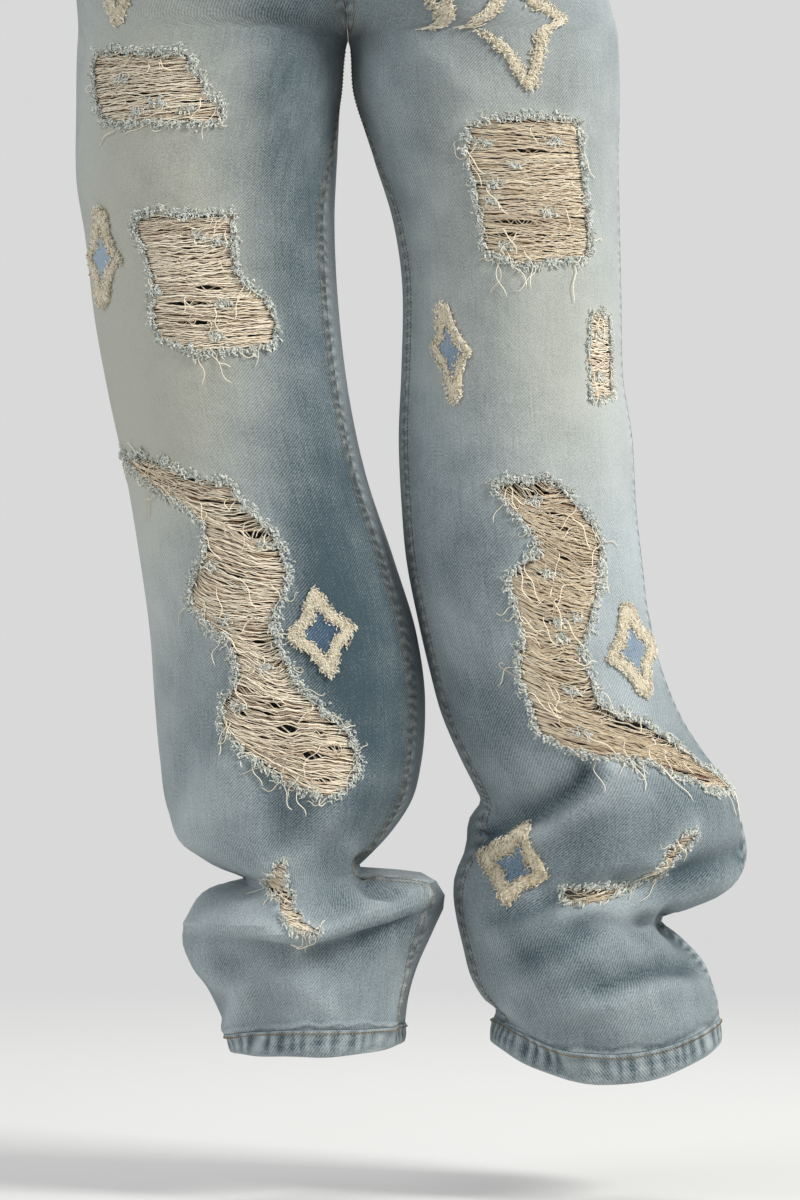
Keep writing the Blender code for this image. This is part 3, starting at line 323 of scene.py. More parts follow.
class Leg:
    """One leg with its half of the hips."""

    def __init__(self, side, name, rings):
        self.side, self.name = side, name
        table = [(o, d, i, d, f, d, b, d, (o + i) / 2) for d, o, i, f, b in HIP_RINGS]
        for outer, inner, front, back in (THIGH_RING,) + rings:
            table.append((*outer, *inner, *front, *back, (outer[0] + inner[0]) / 2))
        self.rings = np.array(table, dtype=float)
        steps = np.hypot(np.diff(self.rings[:, 4]), np.diff(self.rings[:, 5]))
        self.knots = np.concatenate(([0.0], np.cumsum(steps)))
        self.slopes = curve_slopes(self.knots, self.rings)
        self.crotch = self.knots[len(HIP_RINGS) - 1]
        self.hem_top, self.hem_end = self.knots[-2], self.knots[-1]
        front = FRONT_FOLDS[name] + FRONT_CREASES[name]
        back = BACK_FOLDS[name] + BACK_CREASES[name]
        self.folds = [(1, *fold) for fold in front] + [(-1, *fold) for fold in back]

    def bare(self, angle, along):
        """The cloth without its folds."""
        ring = read_curve(self.knots, self.rings, self.slopes, along).T
        outer, outer_drop, inner, inner_drop, front, front_drop, back, back_drop, middle = ring
        across, deep = np.cos(angle), np.sin(angle)
        x = middle + np.where(across > 0, outer - middle, middle - inner) * across
        side_y = (back - front) / 2
        y = side_y - np.where(deep > 0, front + side_y, back - side_y) * deep
        drop = across ** 2 * np.where(across > 0, outer_drop, inner_drop)
        drop = drop + deep ** 2 * np.where(deep > 0, front_drop, back_drop)
        lean = CROTCH_LEAN * (1 - smooth(0, LEAN_HEIGHT, -drop))
        return np.column_stack((self.side * x + lean, y, -CROTCH_BELOW_WAIST - drop))

    def facing(self, shape, angle, along):
        """Unit directions that point out of the cloth, of either form."""
        turn, step = 0.002, 0.4
        round_it = shape(angle + turn, along) - shape(angle - turn, along)
        down_it = shape(angle, along + step) - shape(angle, along - step)
        normal = self.side * np.cross(round_it, down_it)
        return normal / np.linalg.norm(normal, axis=1)[:, None]

    def view(self, points):
        return np.column_stack((points[:, 0] - CROTCH_LEAN, -CROTCH_BELOW_WAIST - points[:, 2]))

    def fold_height(self, points, angle):
        """How far the folds lift the cloth, or let it in, at points of the bare leg."""
        view = self.view(points)
        height = np.zeros(len(points))
        for face, rise, width, route in self.folds:
            share = smooth(0.0, 0.35, face * np.sin(angle))
            distance = distance_to_route(view, np.array(route, dtype=float))
            height += rise * share * np.exp(-0.5 * (distance / width) ** 2)
        return height

    def place(self, angle, along):
        """The outer face of the cloth, with its folds."""
        points = self.bare(angle, along)
        return points + self.facing(self.bare, angle, along) * self.fold_height(points, angle)[:, None]

    def edges(self, along):
        """Angles of the outseam, the front's inner edge and the back's inner edge."""
        ring = read_curve(self.knots, self.rings, self.slopes, along).T
        inner, middle = ring[2], ring[8]
        above = np.arccos(np.clip((middle - HALF_GAP) / (middle - inner), -1.0, 1.0))
        opening = np.where(along < self.crotch, above, 0.0)
        turned = smooth(self.crotch, self.crotch + TURN_LENGTH, along)
        inseam = pi - radians(INSEAM_TURN[self.name]) * turned
        return radians(OUTSEAM_TURN[self.name]) * turned, inseam - opening, inseam + opening

    def find(self, seen):
        """Angle and length of the points of the front that are seen at these places."""
        angles = np.radians(np.linspace(14, 166, 77))
        lengths = np.linspace(self.knots[1], self.hem_end, 240)
        grid_angle, grid_along = (part.ravel() for part in np.meshgrid(angles, lengths))
        grid = project(self.place(grid_angle, grid_along))
        gap = np.linalg.norm(grid[None] - seen[:, None], axis=2)
        nearest = gap.argmin(axis=1)
        angle, along = grid_angle[nearest], grid_along[nearest]
        for _ in range(6):
            here = project(self.place(angle, along))
            turned = (project(self.place(angle + 0.004, along)) - here) / 0.004
            moved = (project(self.place(angle, along + 0.5)) - here) / 0.5
            miss = seen - here
            area = turned[:, 0] * moved[:, 1] - turned[:, 1] * moved[:, 0]
            area = np.where(np.abs(area) < 5.0, 5.0 * np.sign(area + 1e-9), area)
            more_angle = (miss[:, 0] * moved[:, 1] - miss[:, 1] * moved[:, 0]) / area
            more_along = (turned[:, 0] * miss[:, 1] - turned[:, 1] * miss[:, 0]) / area
            angle = np.clip(angle + np.clip(more_angle, -0.1, 0.1), radians(13), radians(167))
            along = along + np.clip(more_along, -8, 8)
        return angle, along


LEGS = {"right": Leg(-1, "right", RIGHT_RINGS), "left": Leg(1, "left", LEFT_RINGS)}
print("leg lengths:", {name: round(leg.hem_end) for name, leg in LEGS.items()}, "mm")

# %% [markdown]
# ## Panels laid out flat
# A cutter sees each front and back as one flat piece. The flat panel runs from the outseam (0) to the inner
# edge (280) and down the leg in millimetres. Rips and stars are placed as they are seen from the front, and
# are then laid onto the flat panel, where cutting a hole or filling an outline is a flat job.


# %% A panel
SEAM_LAP = 10.0
SEAM_RISE = 0.9
SEAM_SOFTNESS = 1.5
LAP_BEGINS = (-5.0, 25.0)  # along the leg from the crotch


class Panel:
    """The front or back of a leg, laid out flat."""

    def __init__(self, leg, is_front):
        self.leg, self.is_front = leg, is_front
        self.name = ("front_" if is_front else "back_") + leg.name
        self.lengths = np.linspace(0.0, leg.hem_top - HALF_GAP, 121)
        across = np.linspace(0, PANEL_WIDTH, 41)
        self.arcs = []
        for along in self.lengths:
            line = self.place(np.column_stack((across, np.full(41, along))))
            self.arcs.append(np.linalg.norm(np.diff(line, axis=0), axis=1).sum())

    def limits(self, along):
        out, front_in, back_in = self.leg.edges(along)
        if self.is_front:
            return out + TRIM_ANGLE, front_in - TRIM_ANGLE
        return back_in + TRIM_ANGLE, 2 * pi + out - TRIM_ANGLE

    def angles(self, flat):
        low, high = self.limits(flat[:, 1])
        return low + (high - low) * flat[:, 0] / PANEL_WIDTH

    def place(self, flat):
        angle, along = self.angles(flat), flat[:, 1]
        points = self.leg.place(angle, along)
        # The widths are measured before there is a lap, since the lap is laid out by them
        if self.is_front and len(self.arcs) == len(self.lengths):
            gap = (PANEL_WIDTH - flat[:, 0]) * self.width(along) / PANEL_WIDTH
            lap = SEAM_RISE * smooth(SEAM_LAP + SEAM_SOFTNESS, SEAM_LAP - SEAM_SOFTNESS, gap)
            lap = lap * smooth(*LAP_BEGINS, along - self.leg.crotch)
            points = points + self.facing(flat) * lap[:, None]
        return points

    def facing(self, flat):
        return self.leg.facing(self.leg.place, self.angles(flat), flat[:, 1])

    def lift(self, flat, height):
        """Points at a height over the cloth."""
        return self.place(flat) + self.facing(flat) * np.reshape(height, (-1, 1))

    def width(self, along):
        """Real width of the panel at each length."""
        return np.interp(along, self.lengths, self.arcs)

    def weave(self, flat):
        """Place on the cloth in real millimetres: across, along."""
        wide = self.width(flat[:, 1]) / PANEL_WIDTH
        return np.column_stack(((PANEL_WIDTH / 2 - flat[:, 0]) * wide * self.leg.side, flat[:, 1]))

    def seen_loop(self, outline):
        """Lay an outline that is given as seen from the front onto the flat panel."""
        angle, along = self.leg.find(np.array(outline, dtype=float))
        low, high = self.limits(along)
        return np.column_stack(((angle - low) / (high - low) * PANEL_WIDTH, along))


FRONTS = {name: Panel(leg, True) for name, leg in LEGS.items()}
BACKS = {name: Panel(leg, False) for name, leg in LEGS.items()}
print("thigh widths:", {name: round(float(panel.width(350))) for name, panel in FRONTS.items()}, "mm")


# %% Working with flat outlines
def gap_to_loop(points, loop):
    """Distance from each point to a closed loop."""
    return distance_to_route(points, np.vstack((loop, loop[:1])))


def inside_loop(points, loop):
    """Which points lie inside a closed loop."""
    inside = np.zeros(len(points), dtype=bool)
    for start, end in zip(loop, np.roll(loop, -1, axis=0)):
        crosses = (start[1] > points[:, 1]) != (end[1] > points[:, 1])
        rise = end[1] - start[1]
        if rise != 0:
            at = start[0] + (points[:, 1] - start[1]) * (end[0] - start[0]) / rise
            inside ^= crosses & (points[:, 0] < at)
    return inside


def loop_area(loop):
    after = np.roll(loop, -1, axis=0)
    return 0.5 * np.sum(loop[:, 0] * after[:, 1] - after[:, 0] * loop[:, 1])


def outward(loop):
    """The outward direction at each point of a loop."""
    turn = 1.0 if loop_area(loop) > 0 else -1.0
    run = np.roll(loop, -1, axis=0) - np.roll(loop, 1, axis=0)
    run /= np.linalg.norm(run, axis=1)[:, None]
    return turn * np.column_stack((run[:, 1], -run[:, 0]))


def divide(line, step, closed=False):
    """Points at about equal steps along a line, with its corners kept."""
    path = np.vstack((line, line[:1])) if closed else np.asarray(line, dtype=float)
    found = []
    for start, end in zip(path[:-1], path[1:]):
        count = max(1, round(float(np.linalg.norm(end - start)) / step))
        found += [start + (end - start) * part / count for part in range(count)]
    if not closed:
        found.append(path[-1])
    return np.array(found)


def near_box(points, loop, reach):
    """Which points lie within a loop's box or a margin round it."""
    return ((points > loop.min(axis=0) - reach) & (points < loop.max(axis=0) + reach)).all(axis=1)


RIM_CLEARANCE = 0.55  # of the spacing, so that no triangle along an edge is a sliver


def fill(outline, holes=(), spacing=4.0):
    """Fill a flat outline with small triangles and leave the holes open."""
    loops = [divide(loop, spacing, closed=True) for loop in (outline, *holes)]
    low, high = outline.min(axis=0), outline.max(axis=0)
    counts = np.maximum(2, np.round((high - low) / spacing)).astype(int)
    across = np.linspace(low[0], high[0], counts[0] + 1)
    along = np.linspace(low[1], high[1], counts[1] + 1)
    grid = np.array(np.meshgrid(across, along)).reshape(2, -1).T
    keep = inside_loop(grid, loops[0])
    for hole in loops[1:]:
        keep &= ~inside_loop(grid, hole)
    grid = grid[keep]
    points, edges, total = [], [], 0
    for loop in loops:
        closed = np.vstack((loop, loop[:1]))
        box = near_box(grid, closed, spacing)
        close = np.zeros(len(grid), dtype=bool)
        close[box] = distance_to_route(grid[box], closed) < RIM_CLEARANCE * spacing
        grid = grid[~close]
        edges += [(total + step, total + (step + 1) % len(loop)) for step in range(len(loop))]
        points.append(loop)
        total += len(loop)
    every = [Vector(point) for point in np.vstack(points + [grid])]
    flat, _, faces, _, _, _ = delaunay_2d_cdt(every, edges, [], 0, 0.01)
    flat = np.array([tuple(point) for point in flat])
    faces = np.array([tuple(face) for face in faces])
    middle = flat[faces].mean(axis=1)
    keep = inside_loop(middle, loops[0])
    for hole in loops[1:]:
        keep &= ~inside_loop(middle, hole)
    used, faces = np.unique(faces[keep], return_inverse=True)
    return flat[used], faces.reshape(-1, 3)


# %% [markdown]
# ## Materials
# Denim is a twill: blue warp threads run down the leg over undyed weft, so the cloth shows fine diagonal
# lines, pale flecks where the warp is worn through, and streaks where a thread is thicker. Washing fades it
# most on the thighs, so each point of the cloth carries how faded and how warm it is there, and its fade also
# holds painted light and shade.

# %% Colour and node helpers
def linear(hexcode):
    """An sRGB hex colour as a linear colour for a shader."""
    parts = [int(hexcode[place:place + 2], 16) / 255 for place in (1, 3, 5)]
    light = [part / 12.92 if part <= 0.04045 else ((part + 0.055) / 1.055) ** 2.4 for part in parts]
    return (*light, 1.0)


def add_node(tree, kind, inputs=None, **settings):
    """Add a shader node with its settings, and give each input a value or a link."""
    node = tree.nodes.new("ShaderNode" + kind)
    for name, value in settings.items():
        setattr(node, name, value)
    for name, value in (inputs or {}).items():
        if isinstance(value, bpy.types.NodeSocket):
            tree.links.new(value, node.inputs[name])
        else:
            node.inputs[name].default_value = value
    return node


def new_material(name, roughness, sheen=0.0, metallic=0.0, ior=1.5):
    """A material with its fixed values set on the shader itself."""
    made = bpy.data.materials.new(name)
    made.use_nodes = True
    shader = made.node_tree.nodes["Principled BSDF"]
    shader.inputs["Roughness"].default_value = roughness
    shader.inputs["Metallic"].default_value = metallic
    shader.inputs["Sheen Weight"].default_value = sheen
    if not metallic:
        shader.inputs["IOR"].default_value = ior
    return made, made.node_tree, shader


# %% Denim, twill woven and stone washed
TWILL_SPACING = 1.7  # real twill lines are 0.7 mm apart, too fine to show, so they are drawn wider
FLECK = 1.5
STREAK_WIDTH = 1.6
STREAK_LENGTH = 34.0
BLOTCH = 42.0
CRUMPLE = 16.0
PUCKER = 8.5
PUCKER_REACH = 13.0
PUCKER_BEND = 26.0
PUCKER_SHARE = 0.22
TWILL_SHARE, FLECK_SHARE, STREAK_SHARE, BLOTCH_SHARE = 0.26, 0.70, 0.26, 0.5


def denim(name, pale, deep, warm, contrast=1.0):
    """Cotton denim: matt, with diagonal lines, flecks, streaks and a washed-out bloom."""
    made, tree, shader = new_material(name, roughness=0.92, sheen=0.12, ior=1.47)
    weave = add_node(tree, "Attribute", attribute_name="weave").outputs["Vector"]
    looks = add_node(tree, "Attribute", attribute_name="looks").outputs["Vector"]
    looks = add_node(tree, "SeparateXYZ", {"Vector": looks}).outputs
    twill = add_node(
        tree, "TexWave", {"Vector": weave, "Scale": 2 * pi / (10 * TWILL_SPACING * 1.41),
                          "Distortion": 2.2, "Detail": 2.0, "Detail Scale": 3.0},
        bands_direction="DIAGONAL").outputs["Fac"]
    fleck = add_node(tree, "TexNoise", {"Vector": weave, "Scale": 1 / FLECK, "Detail": 2.0}).outputs["Fac"]
    drawn_out = (1 / STREAK_WIDTH, 1 / STREAK_LENGTH, 1)
    streaks = add_node(tree, "Mapping", {"Vector": weave, "Scale": drawn_out}).outputs["Vector"]
    streak = add_node(tree, "TexNoise", {"Vector": streaks, "Scale": 1.0, "Detail": 2.0}).outputs["Fac"]
    blotch = add_node(
        tree, "TexNoise",
        {"Vector": weave, "Scale": 1 / BLOTCH, "Detail": 3.0, "Roughness": 0.55}).outputs["Fac"]
    # the fade read here is washing and wear, with painted light and shade
    total = looks["X"]
    patterns = (twill, TWILL_SHARE), (fleck, FLECK_SHARE), (streak, STREAK_SHARE), (blotch, BLOTCH_SHARE)
    for part, amount in patterns:
        centred = add_node(tree, "Math", {0: part, 1: 0.5}, operation="SUBTRACT").outputs[0]
        total = add_node(
            tree, "Math", {0: centred, 1: amount * contrast, 2: total}, operation="MULTIPLY_ADD").outputs[0]
    # Ropy puckers beside a seam: the high spots fade first
    along = add_node(tree, "SeparateXYZ", {"Vector": weave}).outputs["Y"]
    near = add_node(
        tree, "MapRange",
        {"Value": looks["Z"], "From Min": 0.0, "From Max": PUCKER_REACH, "To Min": 1.0, "To Max": 0.0},
        interpolation_type="SMOOTHSTEP").outputs[0]
    bent = add_node(tree, "Math", {0: blotch, 1: PUCKER_BEND, 2: along}, operation="MULTIPLY_ADD").outputs[0]
    turns = add_node(tree, "Math", {0: bent, 1: 2 * pi / PUCKER}, operation="MULTIPLY").outputs[0]
    wave = add_node(tree, "Math", {0: turns}, operation="SINE").outputs[0]
    pucker = add_node(tree, "Math", {0: wave, 1: near}, operation="MULTIPLY").outputs[0]
    total = add_node(
        tree, "Math", {0: pucker, 1: PUCKER_SHARE, 2: total}, operation="MULTIPLY_ADD").outputs[0]
    colour = add_node(
        tree, "Mix", {0: total, 6: linear(deep), 7: linear(pale)},
        data_type="RGBA", clamp_factor=True).outputs[2]
    colour = add_node(
        tree, "Mix", {0: looks["Y"], 6: colour, 7: linear(warm)}, data_type="RGBA",
        blend_type="MULTIPLY", clamp_factor=True).outputs[2]
    tree.links.new(colour, shader.inputs["Base Color"])
    fine = add_node(tree, "Math", {0: twill, 1: 0.5, 2: fleck}, operation="MULTIPLY_ADD").outputs[0]
    bump = add_node(tree, "Bump", {"Height": fine, "Strength": 0.35, "Distance": 0.0006}).outputs[0]
    bump = add_node(
        tree, "Bump", {"Height": pucker, "Strength": 0.8, "Distance": 0.0011, "Normal": bump}).outputs[0]
    crumple = add_node(
        tree, "TexNoise",
        {"Vector": weave, "Scale": 1 / CRUMPLE, "Detail": 3.0, "Roughness": 0.6}).outputs["Fac"]
    bump = add_node(
        tree, "Bump", {"Height": crumple, "Strength": 0.5, "Distance": 0.0025, "Normal": bump}).outputs[0]
    tree.links.new(bump, shader.inputs["Normal"])
    return made


WASHED_DENIM = denim("washed_cotton_denim", "#c4ced1", "#3c515a", "#f3e8d6")
WRONG_SIDE = denim("denim_wrong_side", "#a4a9a7", "#525c61", "#f2eadb", 1.3)
PATCH_DENIM = denim("blue_patch_denim", "#a0b2c0", "#3c546b", "#ffffff", 1.6)
print("denim finishes: washed, wrong side, patch")


# %% [markdown]
# ## Cotton threads
# Weft, fray and stitches are all spun cotton: matt, soft and slightly hairy. A thread here is a thin tube a
# few pixels wide, so the light and shade of its twist are painted along it, and each thread has its own tone.

# %% Threads of spun cotton
TWIST_SCALE = 700.0  # in each metre, which gives a mottle of about 1.4 mm
TWIST_SHADE_SHARE = 0.35


def cotton(name, light, dark, roughness=0.9, sheen=0.3):
    """Spun cotton yarn: every thread has its own tone, and a fine mottle painted as the light and shade of its
    twist.
    """
    made, tree, shader = new_material(name, roughness=roughness, sheen=sheen, ior=1.47)
    tone = add_node(tree, "Attribute", attribute_name="tone").outputs["Fac"]
    place = add_node(tree, "TexCoord").outputs["Object"]
    twist = add_node(tree, "TexNoise", {"Vector": place, "Scale": TWIST_SCALE, "Detail": 1.0}).outputs["Fac"]
    # painted light and shade of the twist, mixed into each thread's tone
    mixed = add_node(tree, "Math", {0: twist, 1: TWIST_SHADE_SHARE, 2: tone}, operation="MULTIPLY_ADD").outputs[0]
    share = add_node(tree, "Math", {0: mixed, 1: 0.17}, operation="SUBTRACT").outputs[0]
    colour = add_node(
        tree, "Mix", {0: share, 6: linear(dark), 7: linear(light)},
        data_type="RGBA", clamp_factor=True).outputs[2]
    tree.links.new(colour, shader.inputs["Base Color"])
    bump = add_node(tree, "Bump", {"Height": twist, "Strength": 0.4, "Distance": 0.0004}).outputs[0]
    tree.links.new(bump, shader.inputs["Normal"])
    return made


ECRU_COTTON = cotton("ecru_weft_cotton", "#fff5df", "#a8835a")
PILE_COTTON = cotton("ecru_star_yarn", "#fbf6e6", "#bfad88")
PALE_WARP = cotton("faded_warp_cotton", "#f5f5ec", "#a0aca6")
GOLD_THREAD = cotton("gold_topstitch_thread", "#a58c5c", "#66492a", 0.7, 0.1)
print("thread finishes: ecru weft, faded warp, topstitch")


# %% Making meshes
def make_mesh(name, points, faces, materials, weave=None, looks=None, tone=None, slots=None):
    """A smooth mesh object from points in millimetres, with what the materials read at each point."""
    mesh = bpy.data.meshes.new(name)
    faces = faces if isinstance(faces, list) else faces.tolist()
    mesh.from_pydata((np.asarray(points) * MM).tolist(), [], faces)
    for kind, size, label, values in (
            ("FLOAT_VECTOR", "vector", "weave", weave), ("FLOAT_VECTOR", "vector", "looks", looks),
            ("FLOAT", "value", "tone", tone)):
        if values is not None:
            layer = mesh.attributes.new(label, kind, "POINT")
            layer.data.foreach_set(size, np.asarray(values, dtype=np.float32).ravel())
    for finish in materials:
        mesh.materials.append(finish)
    if slots is not None:
        mesh.polygons.foreach_set("material_index", np.asarray(slots, dtype=np.int32))
    mesh.shade_smooth()
    mesh.set_sharp_from_angle(angle=radians(50))
    made = bpy.data.objects.new(name, mesh)
    bpy.context.scene.collection.objects.link(made)
    return made


def put_on(piece, slot, *nodes):
    """Say what body a piece rides on and which solids it stands for; the finish named for it is not used."""
    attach(piece, "root")
    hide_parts(*nodes)
    print(piece.name, len(piece.data.polygons), "faces")
    return piece


def shell_faces(faces, count):
    """Faces of a wall between an upper and a lower copy of a sheet, with its rim."""
    edges = np.vstack([faces[:, [0, 1]], faces[:, [1, 2]], faces[:, [2, 0]]])
    codes = edges[:, 0] * count + edges[:, 1]
    rim = edges[~np.isin(codes, edges[:, 1] * count + edges[:, 0])]
    a, b = rim[:, 0], rim[:, 1]
    sides = np.vstack((np.column_stack((b, a, a + count)), np.column_stack((b, a + count, b + count))))
    return np.vstack((faces, sides, faces[:, ::-1] + count)), len(faces) + len(sides)


def make_cloth(name, panel, outline, high, low, materials, holes=(), spacing=4.0):
    """A wall of cloth over a flat outline, between two heights; high may be a function of the flat points."""
    flat, faces = fill(outline, holes, spacing)
    points, normals = panel.place(flat), panel.facing(flat)
    top = high(flat) if callable(high) else np.full(len(flat), high)
    if np.cross(*(points[faces[0]][1:] - points[faces[0]][0])) @ normals[faces[0][0]] < 0:
        faces = faces[:, ::-1]
    every, outside = shell_faces(faces, len(flat))
    slots = np.where(np.arange(len(every)) < outside, 0, len(materials) - 1)
    looks = panel_looks(panel, flat)
    weave = np.column_stack((panel.weave(flat), np.zeros(len(flat))))
    return make_mesh(
        name, np.vstack((points + normals * top[:, None], points + normals * low)), every, materials,
        np.vstack((weave, weave)), np.vstack((looks, looks)), slots=slots)


def make_swept(name, sections, materials, looks, closed):
    """Cloth bent round a route of cross sections, each a closed loop of as many points."""
    count, size, _ = sections.shape
    steps = np.arange(count if closed else count - 1)
    row, column = (part.ravel() for part in np.meshgrid(steps, np.arange(size), indexing="ij"))
    after, beside = (row + 1) % count, (column + 1) % size
    faces = np.column_stack((
        row * size + column, row * size + beside, after * size + beside, after * size + column))
    faces = faces.tolist()
    if not closed:
        faces += [list(range(size))[::-1], [(count - 1) * size + column for column in range(size)]]
    run = np.linalg.norm(np.diff(sections[:, 0], axis=0), axis=1)
    round_it = np.concatenate(([0.0], np.cumsum(run)))
    along = np.cumsum(np.linalg.norm(sections[0] - np.roll(sections[0], 1, axis=0), axis=1))
    weave = np.array([(across, down, 0.0) for across in round_it for down in along])
    made = make_mesh(name, sections.reshape(-1, 3), faces, materials, weave, looks.reshape(-1, 3))
    bm = bmesh.new()
    bm.from_mesh(made.data)
    bmesh.ops.recalc_face_normals(bm, faces=bm.faces)
    bm.to_mesh(made.data)
    bm.free()
    return made


# %% [markdown]
# ## Where the denim is faded, and painted light and shade
# The thighs are sanded nearly white with a warm cast, the outer side of the left leg is a pale cold blue,
# and the inner sides stay bluer, and darker partly as painted shade between the legs. The same patches also
# make the outer sides paler partly as painted light, and the inner knees, the inner right calf and the lower
# legs under their folds darker as painted shade. A band above each hem and the back of each knee are darker
# too. Each patch is a soft oval on the leg, given as seen from the front: across, drop, half width, half
# height, then how much it fades or darkens and how much it warms the cloth.

# %% Faded patches, with painted light and shade
PLAIN_FADE = 0.43
TORN_FADE = 0.35
# Folds: ridges are paler as real wear, and troughs darker as painted shade.
FOLD_WEAR_AND_SHADE = 0.026  # for each millimetre that a fold stands up
TORN_REACH = 5.0
TORN_MARGIN = 25.0
FRONT_FADES_AND_SHADE = {
    "right": (
        (-125, 60, 52, 120, 0.28, 0.8),
        (-120, 262, 44, 90, 0.42, 0.9),
        # paler outer side: faded, and partly painted light
        (-184, 175, 30, 190, 0.54, 0.5),
        (-160, 410, 36, 110, 0.30, 0.2),
        # inner thigh: bluer, and darker partly as painted shade between the legs
        (-40, 50, 30, 120, -0.38, 0.0),
        (-34, 270, 32, 110, -0.17, 0.0),
        # inner knee and calf: darker as painted shade
        (4, 440, 38, 110, -0.44, 0.1),
        (10, 560, 34, 60, -0.20, 0.0),
        (-88, 584, 30, 26, 0.10, 0.0),
        (-120, 645, 34, 24, 0.10, 0.0),
        # darker as painted shade in a fold's trough
        (-112, 712, 30, 30, -0.10, 0.0),
        (-120, 500, 50, 70, -0.02, 0.1),
        (-60, 680, 90, 40, 0.05, 0.0),
        (-60, 755, 90, 16, -0.12, 0.0),
    ),
    "left": (
        (120, 90, 60, 120, 0.20, 0.6),
        (160, 255, 42, 80, 0.40, 0.6),
        # paler outer side: faded, and partly painted light
        (208, 330, 22, 260, 0.35, 0.0),
        (42, 130, 26, 200, -0.10, 0.0),
        (66, 222, 18, 60, 0.22, 0.2),
        (98, 388, 22, 40, -0.14, 0.0),
        (92, 450, 22, 26, 0.10, 0.0),
        (100, 506, 24, 30, -0.26, 0.0),
        (136, 552, 30, 20, 0.14, 0.0),
        # lower leg: darker as painted shade under its folds
        (215, 580, 60, 40, -0.30, 0.0),
        (176, 684, 60, 32, -0.28, 0.0),
        (112, 690, 20, 20, 0.10, 0.0),
        (190, 755, 90, 16, -0.12, 0.0),
    ),
}
BACK_FADES_AND_SHADE = {
    "right": (
        (-100, -120, 60, 80, 0.20, 0.3), (-100, 120, 60, 130, 0.16, 0.3), (-70, 430, 70, 50, -0.14, 0.0),
        (-80, 560, 50, 30, 0.10, 0.0), (-60, 755, 90, 16, -0.12, 0.0)),
    "left": (
        (100, -120, 60, 80, 0.20, 0.3), (110, 120, 60, 130, 0.16, 0.3), (150, 430, 70, 50, -0.14, 0.0),
        (210, 560, 50, 30, 0.10, 0.0), (190, 755, 90, 16, -0.12, 0.0)),
}


def panel_looks(panel, flat):
    """How faded and how warm the cloth is, with painted light and shade in its fade, and how far it lies from a
    seam.
    """
    view = panel.leg.view(panel.place(flat))
    fade_and_shade, warmth = np.full(len(flat), PLAIN_FADE), np.zeros(len(flat))
    fade_and_shade_spots = FRONT_FADES_AND_SHADE if panel.is_front else BACK_FADES_AND_SHADE
    for across, drop, half_width, half_height, amount, warm in fade_and_shade_spots[panel.leg.name]:
        off = (view - (across, drop)) / (half_width, half_height)
        bell = np.exp(-0.5 * (off ** 2).sum(axis=1))
        fade_and_shade += amount * bell
        warmth += warm * bell
    angle = panel.angles(flat)
    # ridges paler as wear, troughs darker as painted shade
    fade_and_shade += FOLD_WEAR_AND_SHADE * panel.leg.fold_height(panel.leg.bare(angle, flat[:, 1]), angle)
    for name, loop in RIP_LOOPS.items():
        if panel.is_front and RIPS[name][0] == panel.leg.name:
            box = near_box(flat, loop, TORN_MARGIN)
            gap = gap_to_loop(flat[box], loop)
            fade_and_shade[box] += TORN_FADE * np.exp(-gap / TORN_REACH)
    wide = panel.width(flat[:, 1]) / PANEL_WIDTH
    seam = np.minimum(flat[:, 0], PANEL_WIDTH - flat[:, 0]) * wide
    seam = np.minimum(seam, np.abs(panel.leg.hem_top - flat[:, 1]) + 3)
    return np.column_stack((fade_and_shade, np.clip(warmth, 0, 1), seam))


# The patches carry painted light and shade as well as fading.
print("faded patches in front:", sum(len(spots) for spots in FRONT_FADES_AND_SHADE.values()))

# %% [markdown]
# ## Rips, gaps and stars
# The rips were made by cutting the blue warp threads and leaving the pale weft. Their outlines, the open
# gaps between the threads and the tips of the stars are all given as seen from the front.

